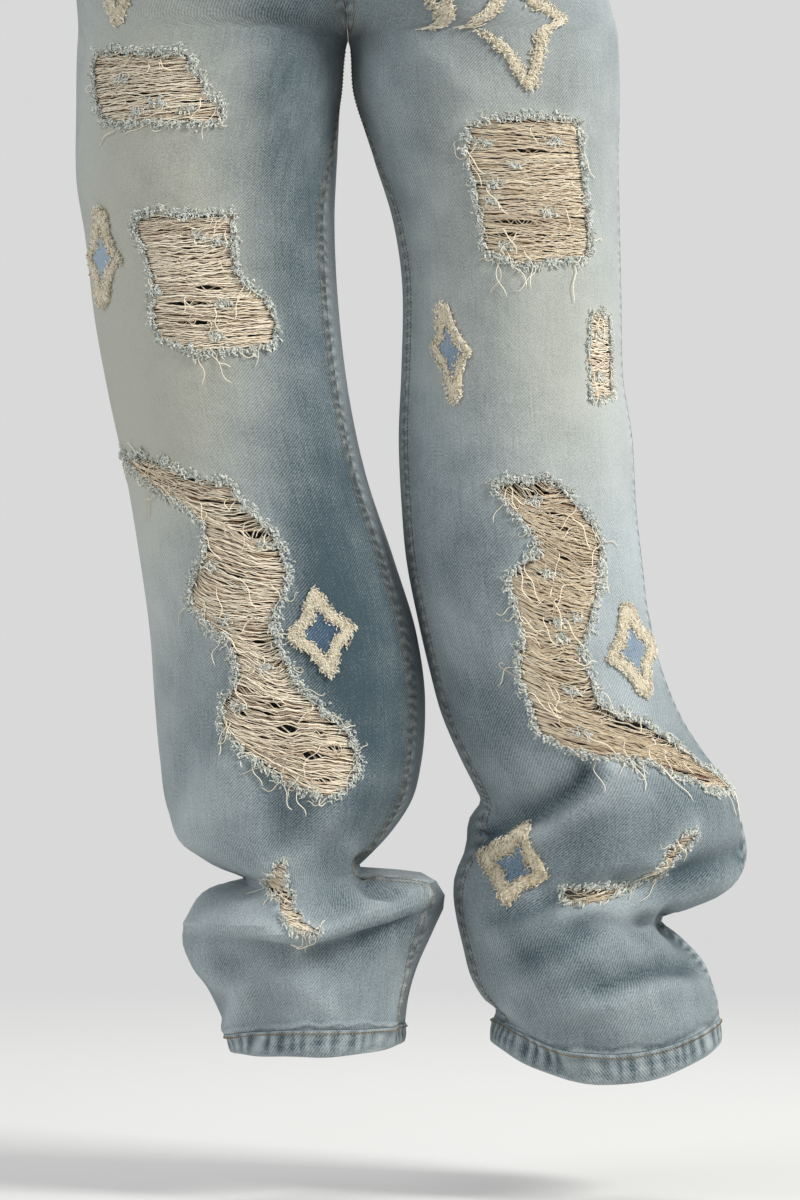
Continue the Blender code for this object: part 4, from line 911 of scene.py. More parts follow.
# %% Outlines of rips, gaps and stars
RIPS = {
    "right_hip": ("right", (
        (-189, 10), (-123, 10), (-110, 32), (-97, 51), (-94, 58), (-112, 62), (-181, 62), (-188, 52),
        (-191, 22))),
    "right_thigh": ("right", (
        (-161, 133), (-87, 131), (-86, 175), (-70, 188), (-58, 201), (-54, 214), (-58, 228), (-81, 232),
        (-112, 234), (-139, 224), (-146, 214), (-146, 179), (-157, 146))),
    "right_knee": ("right", (
        (-169, 311), (-152, 313), (-133, 320), (-116, 329), (-100, 330), (-87, 335), (-81, 346),
        (-57, 369), (-46, 398), (-47, 411), (-55, 426), (-58, 440), (-50, 461), (-36, 486), (-21, 502),
        (-4, 517), (6, 533), (5, 550), (-2, 562), (-14, 568), (-31, 563), (-49, 555), (-67, 541),
        (-85, 527), (-94, 512), (-94, 499), (-82, 476), (-88, 452), (-103, 439), (-118, 423),
        (-116, 405), (-106, 382), (-109, 362), (-121, 351), (-139, 339), (-165, 316))),
    "right_ankle": ("right", (
        (-52, 616.5), (-44, 615), (-46, 626), (-47, 635), (-40, 643), (-37, 654), (-34, 661), (-19, 669),
        (-31, 671), (-44, 668), (-49, 658), (-51, 646), (-60, 637), (-63, 631), (-57, 625))),
    "left_thigh": ("left", (
        (90, 64), (102, 60), (172, 60), (173, 76), (178, 122), (181, 152), (178, 162), (154, 166),
        (130, 169), (102, 158), (97, 121), (89, 83))),
    "left_side": ("left", (
        (181, 205), (196, 206), (197, 232), (198, 268), (182, 270), (180, 232))),
    "left_knee": ("left", (
        (109, 333), (125, 331), (154, 330), (173, 351), (186, 366), (190, 381), (187, 412), (179, 444),
        (175, 460), (182, 478), (187, 496), (201, 507), (218, 510), (233, 520), (254, 535), (271, 548),
        (286, 559), (284, 563), (271, 562), (246, 551), (225, 541), (204, 539), (184, 536), (160, 529),
        (145, 520), (140, 507), (135, 493), (128, 475), (128, 459), (132, 450), (127, 429), (120, 403),
        (135, 392), (145, 385), (139, 370), (125, 352), (114, 340))),
    "left_ankle": ("left", (
        (160, 635), (178, 636), (199, 634), (219, 634), (208, 638), (198, 644), (189, 647), (175, 649),
        (163, 647))),
    "left_shin": ("left", (
        (220.5, 628), (237, 612), (250.5, 597), (262, 589.5), (259.5, 597), (246, 612), (232.5, 628.5))),
}
GAPS = {
    "right_thigh": (
        (-115.5, -90.8, 186, 4.6), (-132.8, -102, 197.5, 4.6), (-131.3, -96.8, 212, 4.8)),
    "right_knee": (
        (-117.8, -102.8, 338, 4.5), (-81.8, -61.5, 371, 8), (-89.3, -69, 487.5, 5),
        (-61.5, -48, 499, 5), (-84.8, -74.3, 505, 4.6), (-50.3, -38.3, 517, 9.8), (-27, -17.3, 520, 4.8),
        (-36, -21, 537, 9), (-15.8, -5.3, 531, 4.8), (-30, -8, 555, 4.6)),
    "left_thigh": (
        (120, 151.5, 83, 4.8), (105.8, 147.8, 136.5, 4.6), (106, 130.5, 145.5, 4.6)),
    "left_knee": (
        (121, 150, 339, 4.6), (147.8, 158.3, 354.8, 4.6), (156, 167.3, 366.8, 4.6),
        (137, 145, 400.5, 4.4), (132.8, 144, 408.5, 4.4), (144.8, 157.5, 435.8, 4.8),
        (138.8, 148.5, 454.5, 4.8), (148, 169.5, 514, 4.6), (211.5, 224, 529.5, 4.6),
        (237, 250, 541, 4.6)),
}
STARS = {
    "right_hip": ("right", 0.56, ((-172, -78), (-151, -46), (-172.5, -10), (-191, -46))),
    "right_side": ("right", 0.56, ((-185.5, 125.5), (-169, 164.5), (-183, 200.5), (-196, 163.5))),
    "right_knee": ("right", 0.58, ((-26.5, 411), (5, 440.5), (-13, 478), (-46.5, 448.5))),
    "left_fly": ("left", 0.56, ((67.5, -84), (88.5, -48), (67.5, -8.5), (46.5, -48))),
    "left_hip": ("left", 0.78, ((118.5, -55.5), (163, -16), (137.5, 38.5), (91, -13))),
    "left_thigh": ("left", 0.56, ((71, 197.5), (93.5, 234), (81, 272.5), (62.5, 228))),
    "left_knee": ("left", 0.56, ((207, 421.5), (231, 451.5), (223, 493.5), (193, 465.5))),
    "left_ankle": ("left", 0.56, ((134.5, 587), (150, 629.5), (118, 649), (98.5, 611.5))),
}
OPEN_STARS = ("left_hip",)
STAR_TIP_HALF = 4.5
STAR_TIP_DEPTH = 3.5
STAR_PATCH_HEIGHT = 1.4
STAR_WAIST = 0.88
HEART_WAIST = 0.76
EDGE_STEP = 3.0
EDGE_WANDER = 0.7


def star_loop(tips, share, waist, tip_half):
    """A four-pointed star between its tips, drawn in by the waist, with blunt tips or sharp ones."""
    tips = np.array(tips, dtype=float)
    centre = tips.mean(axis=0)
    arms = (tips - centre) * share
    loop = []
    for arm, after in zip(arms, np.roll(arms, -1, axis=0)):
        ahead = arm / np.linalg.norm(arm)
        beside = np.array((-ahead[1], ahead[0])) * tip_half
        shoulder = centre + arm - ahead * STAR_TIP_DEPTH
        loop += [shoulder - beside, centre + arm, shoulder + beside] if tip_half else [centre + arm]
        loop.append(centre + (arm + after) / 2 * waist)
    return np.array(loop)


def ragged(loop, seed):
    """The same loop in short steps, each a little off the line, as a torn edge is."""
    points = divide(loop, EDGE_STEP, closed=True)
    wander = np.random.default_rng(seed).normal(0.0, EDGE_WANDER, len(points))
    return points + outward(points) * wander[:, None]


RIP_LOOPS, GAP_SPOTS = {}, {}
for order, (name, (side, outline)) in enumerate(RIPS.items()):
    RIP_LOOPS[name] = ragged(FRONTS[side].seen_loop(outline), 100 + order)
    spots = [((start + end) / 2, drop) for start, end, drop, _ in GAPS.get(name, ())]
    if spots:
        centres = FRONTS[side].seen_loop(spots)
        GAP_SPOTS[name] = [
            (*centre, end - start, height) for centre, (start, end, _, height) in zip(centres, GAPS[name])]
BORDERS = {name: FRONTS[on].seen_loop(star_loop(tips, 1.0, STAR_WAIST, STAR_TIP_HALF))
           for name, (on, _, tips) in STARS.items()}
HEARTS = {name: FRONTS[on].seen_loop(star_loop(tips, share, HEART_WAIST, 0.0))
          for name, (on, share, tips) in STARS.items()}
print("rips:", len(RIP_LOOPS), "stars:", len(BORDERS))

# %% [markdown]
# ## The front panels
# A front reaches from the waistband to the hem, with a scooped pocket opening at the side and the rips cut
# out of it. It is one fine sheet made into a wall of the cloth's thickness, so that the torn edges and the
# inside of the leg are real.

# %% Front panels
POCKET_SCOOP_WIDTH = 105.0
POCKET_SCOOP_DEPTH = 72.0
FRONT_SPACING = 4.2
BACK_SPACING = 6.4


def pocket_scoop(panel, lap):
    """The curved front pocket opening, from the waistband to the outseam."""
    wide = panel.width(30.0) / PANEL_WIDTH
    angles = np.linspace(0, pi / 2, 19)
    across = (POCKET_SCOOP_WIDTH + lap) / wide * np.cos(angles) ** 0.7
    return np.column_stack((across, (POCKET_SCOOP_DEPTH + lap) * np.sin(angles) ** 0.8))


CUTS = {"front": (0.33, 1.04, 0.26), "back": (0.37, 1.02, 0.31)}
for side, panel in FRONTS.items():
    scoop = pocket_scoop(panel, 0.0)
    end = panel.leg.hem_top - HALF_GAP
    scoop[0, 1] = 0.0
    scoop[-1, 0] = 0.0
    outline = np.vstack((scoop, ((0.0, end), (PANEL_WIDTH, end), (PANEL_WIDTH, 0.0))))
    holes = [loop for name, loop in RIP_LOOPS.items() if RIPS[name][0] == side]
    piece = make_cloth(
        f"denim_front_{side}", panel, outline, 0.0, -CLOTH, (WASHED_DENIM, WRONG_SIDE), holes, FRONT_SPACING)
    put_on(piece, "washed_denim", f"front_{side}")
    width, length, area = CUTS["front"]

# %% Back panels and yokes
YOKE_AT_BACK = 62.0
YOKE_AT_SIDE = 34.0
YOKE_BEND = 1.2


def yoke_line(across, below):
    """The seam of a yoke, or a line that runs a little below it."""
    drop = YOKE_AT_BACK + (YOKE_AT_SIDE - YOKE_AT_BACK) * (across / PANEL_WIDTH) ** YOKE_BEND
    return np.column_stack((across, drop + below))


for side, panel in BACKS.items():
    across = np.linspace(0, PANEL_WIDTH, 41)
    end = panel.leg.hem_top - HALF_GAP
    outline = np.vstack((yoke_line(across, HALF_GAP), ((PANEL_WIDTH, end), (0.0, end))))
    piece = make_cloth(
        f"denim_back_{side}", panel, outline, 0.0, -CLOTH, (WASHED_DENIM, WRONG_SIDE), (), BACK_SPACING)
    put_on(piece, "washed_denim", f"back_{side}")
    width, length, area = CUTS["back"]
    outline = np.vstack((yoke_line(across, -HALF_GAP), ((PANEL_WIDTH, 0.0), (0.0, 0.0))))
    piece = make_cloth(f"denim_yoke_{side}", panel, outline, 0.0, -CLOTH, (WASHED_DENIM, WRONG_SIDE), (), 4.0)
    put_on(piece, "washed_denim", f"yoke_{side}")

# %% [markdown]
# ## Threads as thin tubes
# A thread is modelled as a three-sided tube along a short route. That sounds coarse, but at this size the
# smooth shading rounds it, and thousands of threads stay light when they are joined into one mesh. Each
# thread lies at its own height over the cloth, which is what gives frayed cotton its soft shadows.

# %% Threads from routes
TAPER = 0.25


def make_threads(name, routes, radii, finish, tones, sides=3):
    """Thin tubes along routes of points in millimetres, joined into one mesh."""
    sizes = np.array([len(route) for route in routes])
    radii, tones = np.broadcast_to(radii, len(routes)), np.asarray(tones)
    points, faces, tone, total = [], [], [], 0
    for size in np.unique(sizes):
        members = np.flatnonzero(sizes == size)
        paths = np.array([routes[member] for member in members])
        run = np.gradient(paths, axis=1)
        run /= np.linalg.norm(run, axis=2)[..., None] + 1e-9
        guide = np.where(np.abs(run.mean(axis=1)[:, 1:2]) < 0.7, (0.0, 1.0, 0.0), (0.0, 0.0, 1.0))
        beside = np.cross(run, guide[:, None])
        beside /= np.linalg.norm(beside, axis=2)[..., None] + 1e-9
        above = np.cross(beside, run)
        thick = np.ones(size)
        thick[[0, -1]] = TAPER
        thick = radii[members][:, None, None] * thick[None, :, None]
        turns = 2 * pi * np.arange(sides) / sides
        rings = [paths + thick * (cos(turn) * beside + sin(turn) * above) for turn in turns]
        points.append(np.stack(rings, axis=2).reshape(-1, 3))
        first = total + np.arange(len(members) * size * sides).reshape(len(members), size, sides)
        beyond = np.roll(first, -1, axis=2)
        quads = np.stack((first[:, :-1], beyond[:, :-1], beyond[:, 1:], first[:, 1:]), axis=-1)
        faces.append(quads.reshape(-1, 4))
        tone.append(np.repeat(tones[members], size * sides))
        total += len(members) * size * sides
    return make_mesh(name, np.vstack(points), np.vstack(faces), (finish,), tone=np.concatenate(tone))


def lay(panel, flats, heights):
    """Lift many flat routes onto the cloth in one go."""
    ends = np.cumsum([len(flat) for flat in flats])[:-1]
    return np.split(panel.lift(np.vstack(flats), np.concatenate(heights)), ends)


# %% [markdown]
# ## The weft left across a rip
# With the warp gone, the weft hangs in loose bundles. Threads were made one by one across each rip, from edge
# to edge. They sag a little more where the rip is wide, crowd together in wavy bundles, and part round the
# open gaps. A thread's ends are hidden in the thickness of the denim.

# %% Weft threads
DEEP_LAYER = -2.3
LAYERS = ((0.82, -0.75, 1.0), (1.15, DEEP_LAYER, 1.0), (3.2, 0.2, 4.5))  # spacing, height, how far they stray
LAYER_RADII = (0.42, 0.5, 0.38, 0.36)  # the last one is for loose ends
# The deep layer's low tone is painted shade under the upper threads.
LAYER_TONES_AND_SHADE = (0.78, 0.34, 0.92, 1.0)
SHORTEST_THREAD = 2.0
BUNDLE = 4.4
BUNDLE_PULL = 0.42
WEFT_POINT_STEP = 3.3
DEEP_POINT_STEP = 7.0
SLANT = {"right_knee": 0.22, "left_knee": -0.26, "right_ankle": 0.2}
LONGEST_SAG = 36.0
SAG_ROOM = 16.0
GAP_PUSH = 0.32
SAG = {
    "right_hip": 0.04, "right_thigh": 0.06, "right_knee": 0.16, "right_ankle": 0.12, "left_thigh": 0.04,
    "left_side": 0.03, "left_knee": 0.16, "left_ankle": 0.10, "left_shin": 0.10}


def crossings(loop, value, axis):
    """Where a straight line at one length (axis 1) or one place across (axis 0) crosses a loop."""
    found = []
    for start, end in zip(loop, np.roll(loop, -1, axis=0)):
        if (start[axis] > value) != (end[axis] > value):
            share = (value - start[axis]) / (end[axis] - start[axis])
            found.append(start[1 - axis] + share * (end[1 - axis] - start[1 - axis]))
    return sorted(found)


def part_round_gaps(flat, gaps):
    """Push threads away from the middle of each open gap."""
    moved = flat.copy()
    for across, along, width, height in gaps:
        off = flat[:, 1] - along
        push = np.exp(-0.5 * ((flat[:, 0] - across) / (0.33 * width)) ** 2)
        push = push * np.exp(-np.abs(off) / (1.3 * height))
        moved[:, 1] += np.sign(off) * GAP_PUSH * height * push
    return moved


def weft_threads(name, loop, chance, spacing, layer, stray):
    """Flat routes and heights of the threads across one rip, in a layer at one height."""
    flats, heights = [], []
    gaps, slant = GAP_SPOTS.get(name, ()), SLANT.get(name, 0.0)
    level = loop - np.column_stack((np.zeros(len(loop)), slant * loop[:, 0]))
    low, high = level[:, 1].min(), level[:, 1].max()
    shift = chance.uniform(0, 6, 3)
    for along in np.arange(low + 0.6, high - 0.5, spacing):
        ends = crossings(level, along, 1)
        for start, end in zip(ends[::2], ends[1::2]):
            width = end - start
            if width < SHORTEST_THREAD:
                continue
            below = [value for value in crossings(level, (start + end) / 2, 0) if value > along]
            room = smooth(0.0, SAG_ROOM, below[0] - along) if below else 0.0
            step = WEFT_POINT_STEP if layer > DEEP_LAYER else DEEP_POINT_STEP
            share = np.linspace(0, 1, max(4, round(width / step)))
            peak = 0.5 + 0.24 * sin(along / 15.0 + shift[0])
            bow = np.sin(pi * share ** (np.log(0.5) / np.log(peak)))
            slack = 1 + 0.5 * sin(along / 8.0 + shift[1]) + chance.normal(0, 0.18)
            droop = SAG[name] * min(width, LONGEST_SAG) * room * slack
            across = start + width * share
            tilt = stray * (1.6 * sin(along / 11.0 + shift[2]) + chance.normal(0, 1.0))
            tilt = tilt * (share - 0.5) * smooth(8, 24, width)
            down = along + slant * across + droop * bow + tilt + chance.normal(0, 0.3)
            wave = 2 * pi * down / BUNDLE + 1.9 * np.sin(across / 19.0 + shift[2]) + 1.3 * np.sin(across / 8.0)
            ease = np.sin(pi * share) ** 0.5
            kink = 0.5 * np.sin(across / 4.2 + chance.uniform(0, 6))
            kink = kink + 0.4 * np.sin(across / 1.7 + chance.uniform(0, 6))
            down = down + ease * (BUNDLE_PULL * np.sin(wave) + kink)
            flat = part_round_gaps(np.column_stack((across, down)), gaps)
            over = ~inside_loop(flat, loop)
            over[[0, -1]] = False
            height = layer + ease * (0.4 + 0.5 * np.cos(wave) + chance.normal(0, 0.3))
            flats.append(flat)
            heights.append(np.where(over, np.maximum(height, 0.7), height))
    return flats, heights


def curled(roots, headings, lengths, turns, chance, points=6, settle=0.35, arch=1.5, drop=0.0):
    """Flat routes and heights of curly threads, whose headings turn as they go on from their roots."""
    share = np.linspace(0, 1, points)
    phase = chance.uniform(0, 2 * pi, len(roots))[:, None]
    way = headings[:, None] + turns[:, None] * share + 0.6 * np.sin(8 * share + phase)
    run = np.stack((np.cos(way), np.sin(way)), axis=-1) * (lengths / (points - 1))[:, None, None]
    run[:, 0] = 0.0
    flats = roots[:, None] + np.cumsum(run, axis=1)
    flats[..., 1] += drop * lengths[:, None] * share ** 2
    rise = np.reshape(arch, (-1, 1)) * chance.uniform(0.5, 1.3, len(roots))[:, None]
    heights = settle + rise * np.sin(pi * share * chance.uniform(0.7, 1.0, len(roots))[:, None])
    return list(flats), list(heights)


# %% Lay the weft into every rip
LOOSE = {"right_hip": 16, "right_thigh": 26, "right_knee": 80, "right_ankle": 10, "left_thigh": 26,
         "left_side": 8, "left_knee": 76, "left_ankle": 10, "left_shin": 8}
for order, (name, loop) in enumerate(RIP_LOOPS.items()):
    panel, chance = FRONTS[RIPS[name][0]], np.random.default_rng(200 + order)
    layers = [weft_threads(name, loop, chance, *layer) for layer in LAYERS]
    roots = chance.uniform(loop.min(axis=0), loop.max(axis=0), (LOOSE[name] * 8, 2))
    roots = roots[inside_loop(roots, loop)][:LOOSE[name] // 2]
    roots = np.vstack((roots, loop[chance.integers(0, len(loop), LOOSE[name] - len(roots))]))
    reach = min(30.0, 0.4 * float(np.ptp(loop[:, 1])))
    layers.append(curled(
        roots, chance.uniform(0, pi, len(roots)), reach * chance.uniform(0.4, 1.0, len(roots)),
        chance.normal(0, 2.6, len(roots)), chance, points=12, settle=0.7, arch=1.8, drop=0.25))
    flats = [flat for part, _ in layers for flat in part]
    routes = lay(panel, flats, [height for _, part in layers for height in part])
    counts = [len(part) for part, _ in layers]
    tones = np.repeat(LAYER_TONES_AND_SHADE, counts) + chance.normal(0, 0.18, len(routes))
    radii = np.repeat(LAYER_RADII, counts) * chance.uniform(0.8, 1.15, len(routes))
    piece = make_threads(f"weft_threads_{name}", routes, radii, ECRU_COTTON, tones)
    put_on(piece, "ecru_weft", f"weft_{name}")

# %% [markdown]
# ## Frayed edges
# Round each rip the denim has come apart into knotted curls of faded warp. They crowd in a lumpy band on the
# cloth, and a few scraps of warp hang on in the weft. Each strand is short and turns nearly full circle.

# %% Short curly strands
KNOT_AREA = 11.0
FRAY_RADIUS = 0.5


def fray(loop, chance, band, crowding, length):
    """Curls in knots along a band round a loop, and the knots reach further out in some stretches."""
    fine = divide(loop, 0.5, closed=True)
    area = len(fine) * 0.5 * (band + 3)
    count, knots = int(area * crowding), int(area / KNOT_AREA)
    member = chance.integers(0, knots, count)
    spot = chance.integers(0, len(fine), knots)
    pick = (spot[member] + chance.normal(0, 2.0, count)).astype(int) % len(fine)
    patchy = 0.7 + 0.3 * np.sin(pick / 13.0) * np.sin(pick / 5.3 + 2)
    out = chance.triangular(-2.6, 0.6, band, knots)[member] * patchy + chance.normal(0, 0.7, count)
    arch = chance.uniform(0.8, 3.0, knots)[member]
    roots = fine[pick] + outward(fine)[pick] * out[:, None]
    turns = chance.uniform(1.5, 5.5, count) * chance.choice((-1, 1), count)
    headings, lengths = chance.uniform(0, 2 * pi, count), length * chance.uniform(0.5, 1.2, count)
    return curled(roots, headings, lengths, turns, chance, points=5, arch=arch, drop=0.1)


def scraps(spots, chance):
    """Small clumps of warp that are left in the weft."""
    centres = np.repeat(spots, SCRAP_STRANDS, axis=0)
    roots = centres + chance.normal(0, 1.0, centres.shape) * (3.4, 1.2)
    turns = chance.uniform(1.0, 5.0, len(roots)) * chance.choice((-1, 1), len(roots))
    lengths = chance.uniform(3.0, 7.0, len(roots))
    headings = chance.uniform(0, 2 * pi, len(roots))
    return curled(roots, headings, lengths, turns, chance, settle=0.2, arch=1.2)


SCRAP_STRANDS = 24
SCRAPS = {
    "right_hip": ((-170, 30), (-143, 46), (-120, 52), (-158, 55)),
    "right_thigh": ((-113, 148), (-96, 151), (-98, 222), (-143, 188), (-94, 198)),
    "right_knee": ((-104, 395), (-92, 436), (-64, 378), (-76, 352), (-62, 470), (-84, 500)),
    "left_thigh": ((109, 121), (101, 77), (108, 108), (117, 155), (150, 130), (125, 94), (155, 76)),
    "left_side": ((189, 220), (188, 252)),
    "left_knee": ((158, 437), (172, 433), (167, 489), (161, 449), (140, 345), (150, 400), (176, 520)),
}
FRAY_BAND = {"right_hip": 8, "right_thigh": 8, "right_knee": 8.5, "right_ankle": 3, "left_thigh": 8,
             "left_side": 4.5, "left_knee": 8.5, "left_ankle": 3.5, "left_shin": 2.5}
FRAY_CROWDING = 0.3
for order, (name, loop) in enumerate(RIP_LOOPS.items()):
    panel, chance = FRONTS[RIPS[name][0]], np.random.default_rng(300 + order)
    band = FRAY_BAND[name]
    flats, heights = fray(loop, chance, band, FRAY_CROWDING, 2.8 + 0.2 * band)
    if name in SCRAPS:
        more, more_heights = scraps(panel.seen_loop(SCRAPS[name]), chance)
        flats, heights = flats + more, heights + more_heights
    tones = chance.normal(0.62, 0.22, len(flats))
    piece = make_threads(f"fray_threads_{name}", lay(panel, flats, heights), FRAY_RADIUS, PALE_WARP, tones)
    put_on(piece, "frayed_denim", *([f"fray_{name}"] if f"fray_{name}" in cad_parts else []))

# %% [markdown]
# ## Star patches
# Each star is a shaggy border of ecru yarn round a heart of bluer denim. A low domed sheet gives the border
# its body, and several hundred short yarn loops give it its shag and a soft outline.

# %% Stars
BORDER_DOME = 2.4
LUMP = 0.5
YARN_AREA = 2.4  # square millimetres of border for each yarn
YARN_RADIUS = 0.5
LEAST_SHARE = 0.31
for order, name in enumerate(STARS):
    side = STARS[name][0]
    panel, chance = FRONTS[side], np.random.default_rng(400 + order)
    border, heart = BORDERS[name], HEARTS[name]

    def dome(flat):
        edge = np.minimum(gap_to_loop(flat, border), gap_to_loop(flat, heart))
        lumps = np.sin(flat[:, 0] / 1.3 + order) * np.sin(flat[:, 1] / 1.6)
        return 0.5 + (BORDER_DOME + LUMP * lumps) * (1 - np.exp(-edge / 1.8))

    piece = make_cloth(f"star_body_{name}", panel, border, dome, 0.3, (PILE_COTTON,), (heart,), 1.8)
    piece.data.attributes.new("tone", "FLOAT", "POINT").data.foreach_set(
        "value", np.full(len(piece.data.vertices), 0.35, dtype=np.float32))
    put_on(piece, "ecru_weft", f"star_border_{name}")
    area = abs(loop_area(border)) - abs(loop_area(heart))
    many = chance.uniform(border.min(axis=0), border.max(axis=0), (int(area * 3.2), 2))
    on_border = inside_loop(many, border) & ~inside_loop(many, heart + outward(heart) * 1.2)
    many = many[on_border][:int(area / YARN_AREA)]
    turns = chance.uniform(2.0, 6.0, len(many)) * chance.choice((-1, 1), len(many))
    headings, lengths = chance.uniform(0, 2 * pi, len(many)), chance.uniform(3.0, 6.0, len(many))
    flats, heights = curled(many, headings, lengths, turns, chance, points=4, settle=2.1, arch=0.8)
    rim, rim_heights = fray(border, chance, 0.8, 0.30, 3.0)
    inner, inner_heights = fray(heart, chance, 0.8, 0.25, 3.4)
    flats, heights = flats + rim + inner, heights + rim_heights + inner_heights
    tones = chance.normal(0.66, 0.2, len(flats)) - 0.25 * (name == "left_ankle")
    yarn = make_threads(f"star_yarn_{name}", lay(panel, flats, heights), YARN_RADIUS, PILE_COTTON, tones)
    put_on(yarn, "ecru_weft", f"star_border_{name}")
    if name not in OPEN_STARS:
        piece = make_cloth(f"star_heart_{name}", panel, heart, STAR_PATCH_HEIGHT, 0.3, (PATCH_DENIM,), (), 1.8)
        put_on(piece, "patch_denim", f"star_patch_{name}")
        width, length = (float(value) * MM for value in np.ptp(heart, axis=0))
        area = max(LEAST_SHARE * width * length, abs(loop_area(heart)) * MM ** 2)

# %% [markdown]
# ## Topstitching
# Jeans are sewn with a thick gold thread that shows as a row of short dashes, dimpled into the cloth at each
# end. A row of little arched threads along a flat line catches the light as sewing does, which a painted
# stripe would not.

# %% Rows of stitches
STITCH_PITCH = 3.1
STITCH_LENGTH = 2.6
STITCH_RADIUS = 0.32
STITCH_PARTS = np.array((0.0, 0.3, 0.7, 1.0))


def stitch_row(panel, line, lift=0.0):
    """Stitches along a flat line, each a short arched thread."""
    fine = divide(np.asarray(line, dtype=float), 1.0)
    placed = panel.place(fine)
    gone = np.concatenate(([0.0], np.cumsum(np.linalg.norm(np.diff(placed, axis=0), axis=1))))
    starts = np.arange(int(gone[-1] / STITCH_PITCH)) * STITCH_PITCH + 0.3
    at = (starts[:, None] + STITCH_LENGTH * STITCH_PARTS[None]).ravel()
    flat = np.column_stack((np.interp(at, gone, fine[:, 0]), np.interp(at, gone, fine[:, 1])))
    heights = np.tile((-0.15, 0.3, 0.3, -0.15), len(starts)) + lift
    return list(panel.lift(flat, heights).reshape(-1, 4, 3))


def down_line(panel, gap, start, end, count=90):
    """A line down a panel at a real distance from its inner edge, or from the outseam if negative."""
    along = np.linspace(start, end, count)
    unit = panel.width(along) / PANEL_WIDTH
    across = PANEL_WIDTH - gap / unit if gap > 0 else -gap / unit
    return np.column_stack((across, along))


def sew(name, rows, radius, seed, tone, spread):
    """Join rows of stitches into one piece of gold thread."""
    tones = np.random.default_rng(seed).normal(tone, spread, len(rows))
    put_on(make_threads(name, rows, radius, GOLD_THREAD, tones), "ecru_weft")


# %% Stitch the seams of the legs
for side in LEGS:
    front, back = FRONTS[side], BACKS[side]
    leg = front.leg
    rows = []
    for gap in (2.2, SEAM_LAP - 1.6):
        rows += stitch_row(front, down_line(front, gap, leg.crotch + 8, leg.hem_top - 2))
    for gap in (2.2, 8.6):
        rows += stitch_row(front, down_line(front, gap, 6 if side == "right" else 152, leg.crotch - 2))
        if side == "left":
            rows += stitch_row(back, down_line(back, -gap, 70, leg.crotch, count=60))
    for lap in (3.0, 9.5):
        rows += stitch_row(front, pocket_scoop(front, lap)[1:-1])
    across = np.linspace(2, PANEL_WIDTH - 2, 60)
    for lap in (2.6, 9.0):
        rows += stitch_row(back, yoke_line(across, lap))
    sew(f"topstitch_{side}", rows, STITCH_RADIUS, 500, 0.55, 0.12)

# %% [markdown]
# ## Hems
# A hem is the leg's end folded up twice and stitched. The fold ropes: the cloth creeps along the stitch line
# and leaves slanting ripples that fade on their high sides. The band is a loop of cross sections, each
# rounded under at the fold, with the ripple worked into its outer face.

# %% Hem bands
HEM_SECTIONS = 260
ROPE_STEP = 12.5
ROPE_HEIGHT = 0.6
STITCH_BELOW_TOP = 2.6
HEM_STITCH_RADIUS = 0.48
HEM_PROFILE = (
    (0.0, 0.25), (0.03, 0.75), (0.12, 0.95), (0.25, 0.7), (0.38, 0.85), (0.5, 1.0), (0.62, 1.05),
    (0.75, 1.0), (0.88, 0.9), (0.96, 0.5), (1.0, -0.5), (1.0, -1.4), (0.94, -2.2), (0.6, -2.4),
    (0.2, -2.4), (0.0, -2.0))
for side, leg in LEGS.items():
    angles = np.linspace(0, 2 * pi, HEM_SECTIONS, endpoint=False) + pi * 1.3
    top, depth = leg.hem_top + 2 * HALF_GAP, leg.hem_end - leg.hem_top - 2 * HALF_GAP
    ring = leg.place(angles, np.full(HEM_SECTIONS, leg.hem_end))
    arcs = np.concatenate(([0.0], np.cumsum(np.linalg.norm(np.diff(ring, axis=0), axis=1))))
    drift = 5.0 * np.sin(arcs / 23.0) + 3.0 * np.sin(arcs / 9.0 + 1) + 1.2 * np.sin(arcs / 4.0)
    strength = 0.62 + 0.38 * np.sin(arcs / 17.0) * np.sin(arcs / 41.0 + 2)
    columns, looks = [], []
    for share, out in HEM_PROFILE:
        along = np.full(HEM_SECTIONS, top + share * depth)
        ripple = np.sin(2 * pi * (arcs + drift + 5.0 * share) / ROPE_STEP)
        ripple = ripple * sin(pi * min(1.0, share + 0.08)) ** 0.7 * strength * (out > 0)
        along = along + (0.5 * ripple + 0.35 * np.sin(arcs / 9.0)) * (share > 0.9)
        normals = leg.facing(leg.place, angles, along)
        columns.append(leg.place(angles, along) + normals * (out + ROPE_HEIGHT * ripple)[:, None])
        worn = 0.22 * smooth(0.82, 1.0, share) + 0.12 * smooth(0.2, 0.0, share)
        looks.append(np.column_stack((
            0.36 + 0.38 * ripple + worn, np.full(HEM_SECTIONS, 0.1), np.full(HEM_SECTIONS, 9.0))))
    sections, looks = np.stack(columns, axis=1), np.stack(looks, axis=1)
    piece = make_swept(f"denim_hem_{side}", sections, (WASHED_DENIM,), looks, closed=True)
    put_on(piece, "washed_denim", f"hem_{side}")
    at = np.arange(0, arcs[-1] - STITCH_PITCH, STITCH_PITCH)
    at = (at[:, None] + STITCH_LENGTH * STITCH_PARTS[None]).ravel()
    turn, along = np.interp(at, arcs, angles), np.full(len(at), top + STITCH_BELOW_TOP)
    height = np.tile((0.8, 1.9, 1.9, 0.8), len(at) // 4)
    rows = (leg.place(turn, along) + leg.facing(leg.place, turn, along) * height[:, None]).reshape(-1, 4, 3)
    sew(f"hem_stitches_{side}", list(rows), HEM_STITCH_RADIUS, 510, 0.4, 0.14)

# %% [markdown]
# ## Waistband, belt loops and button
# The waistband is a straight strip folded over the top of the jeans, open at the fly and closed by a shank
# button. Belt loops are narrow strips that stand off it. These are above the photograph's edge, so they take
# the plain shapes that such jeans have.

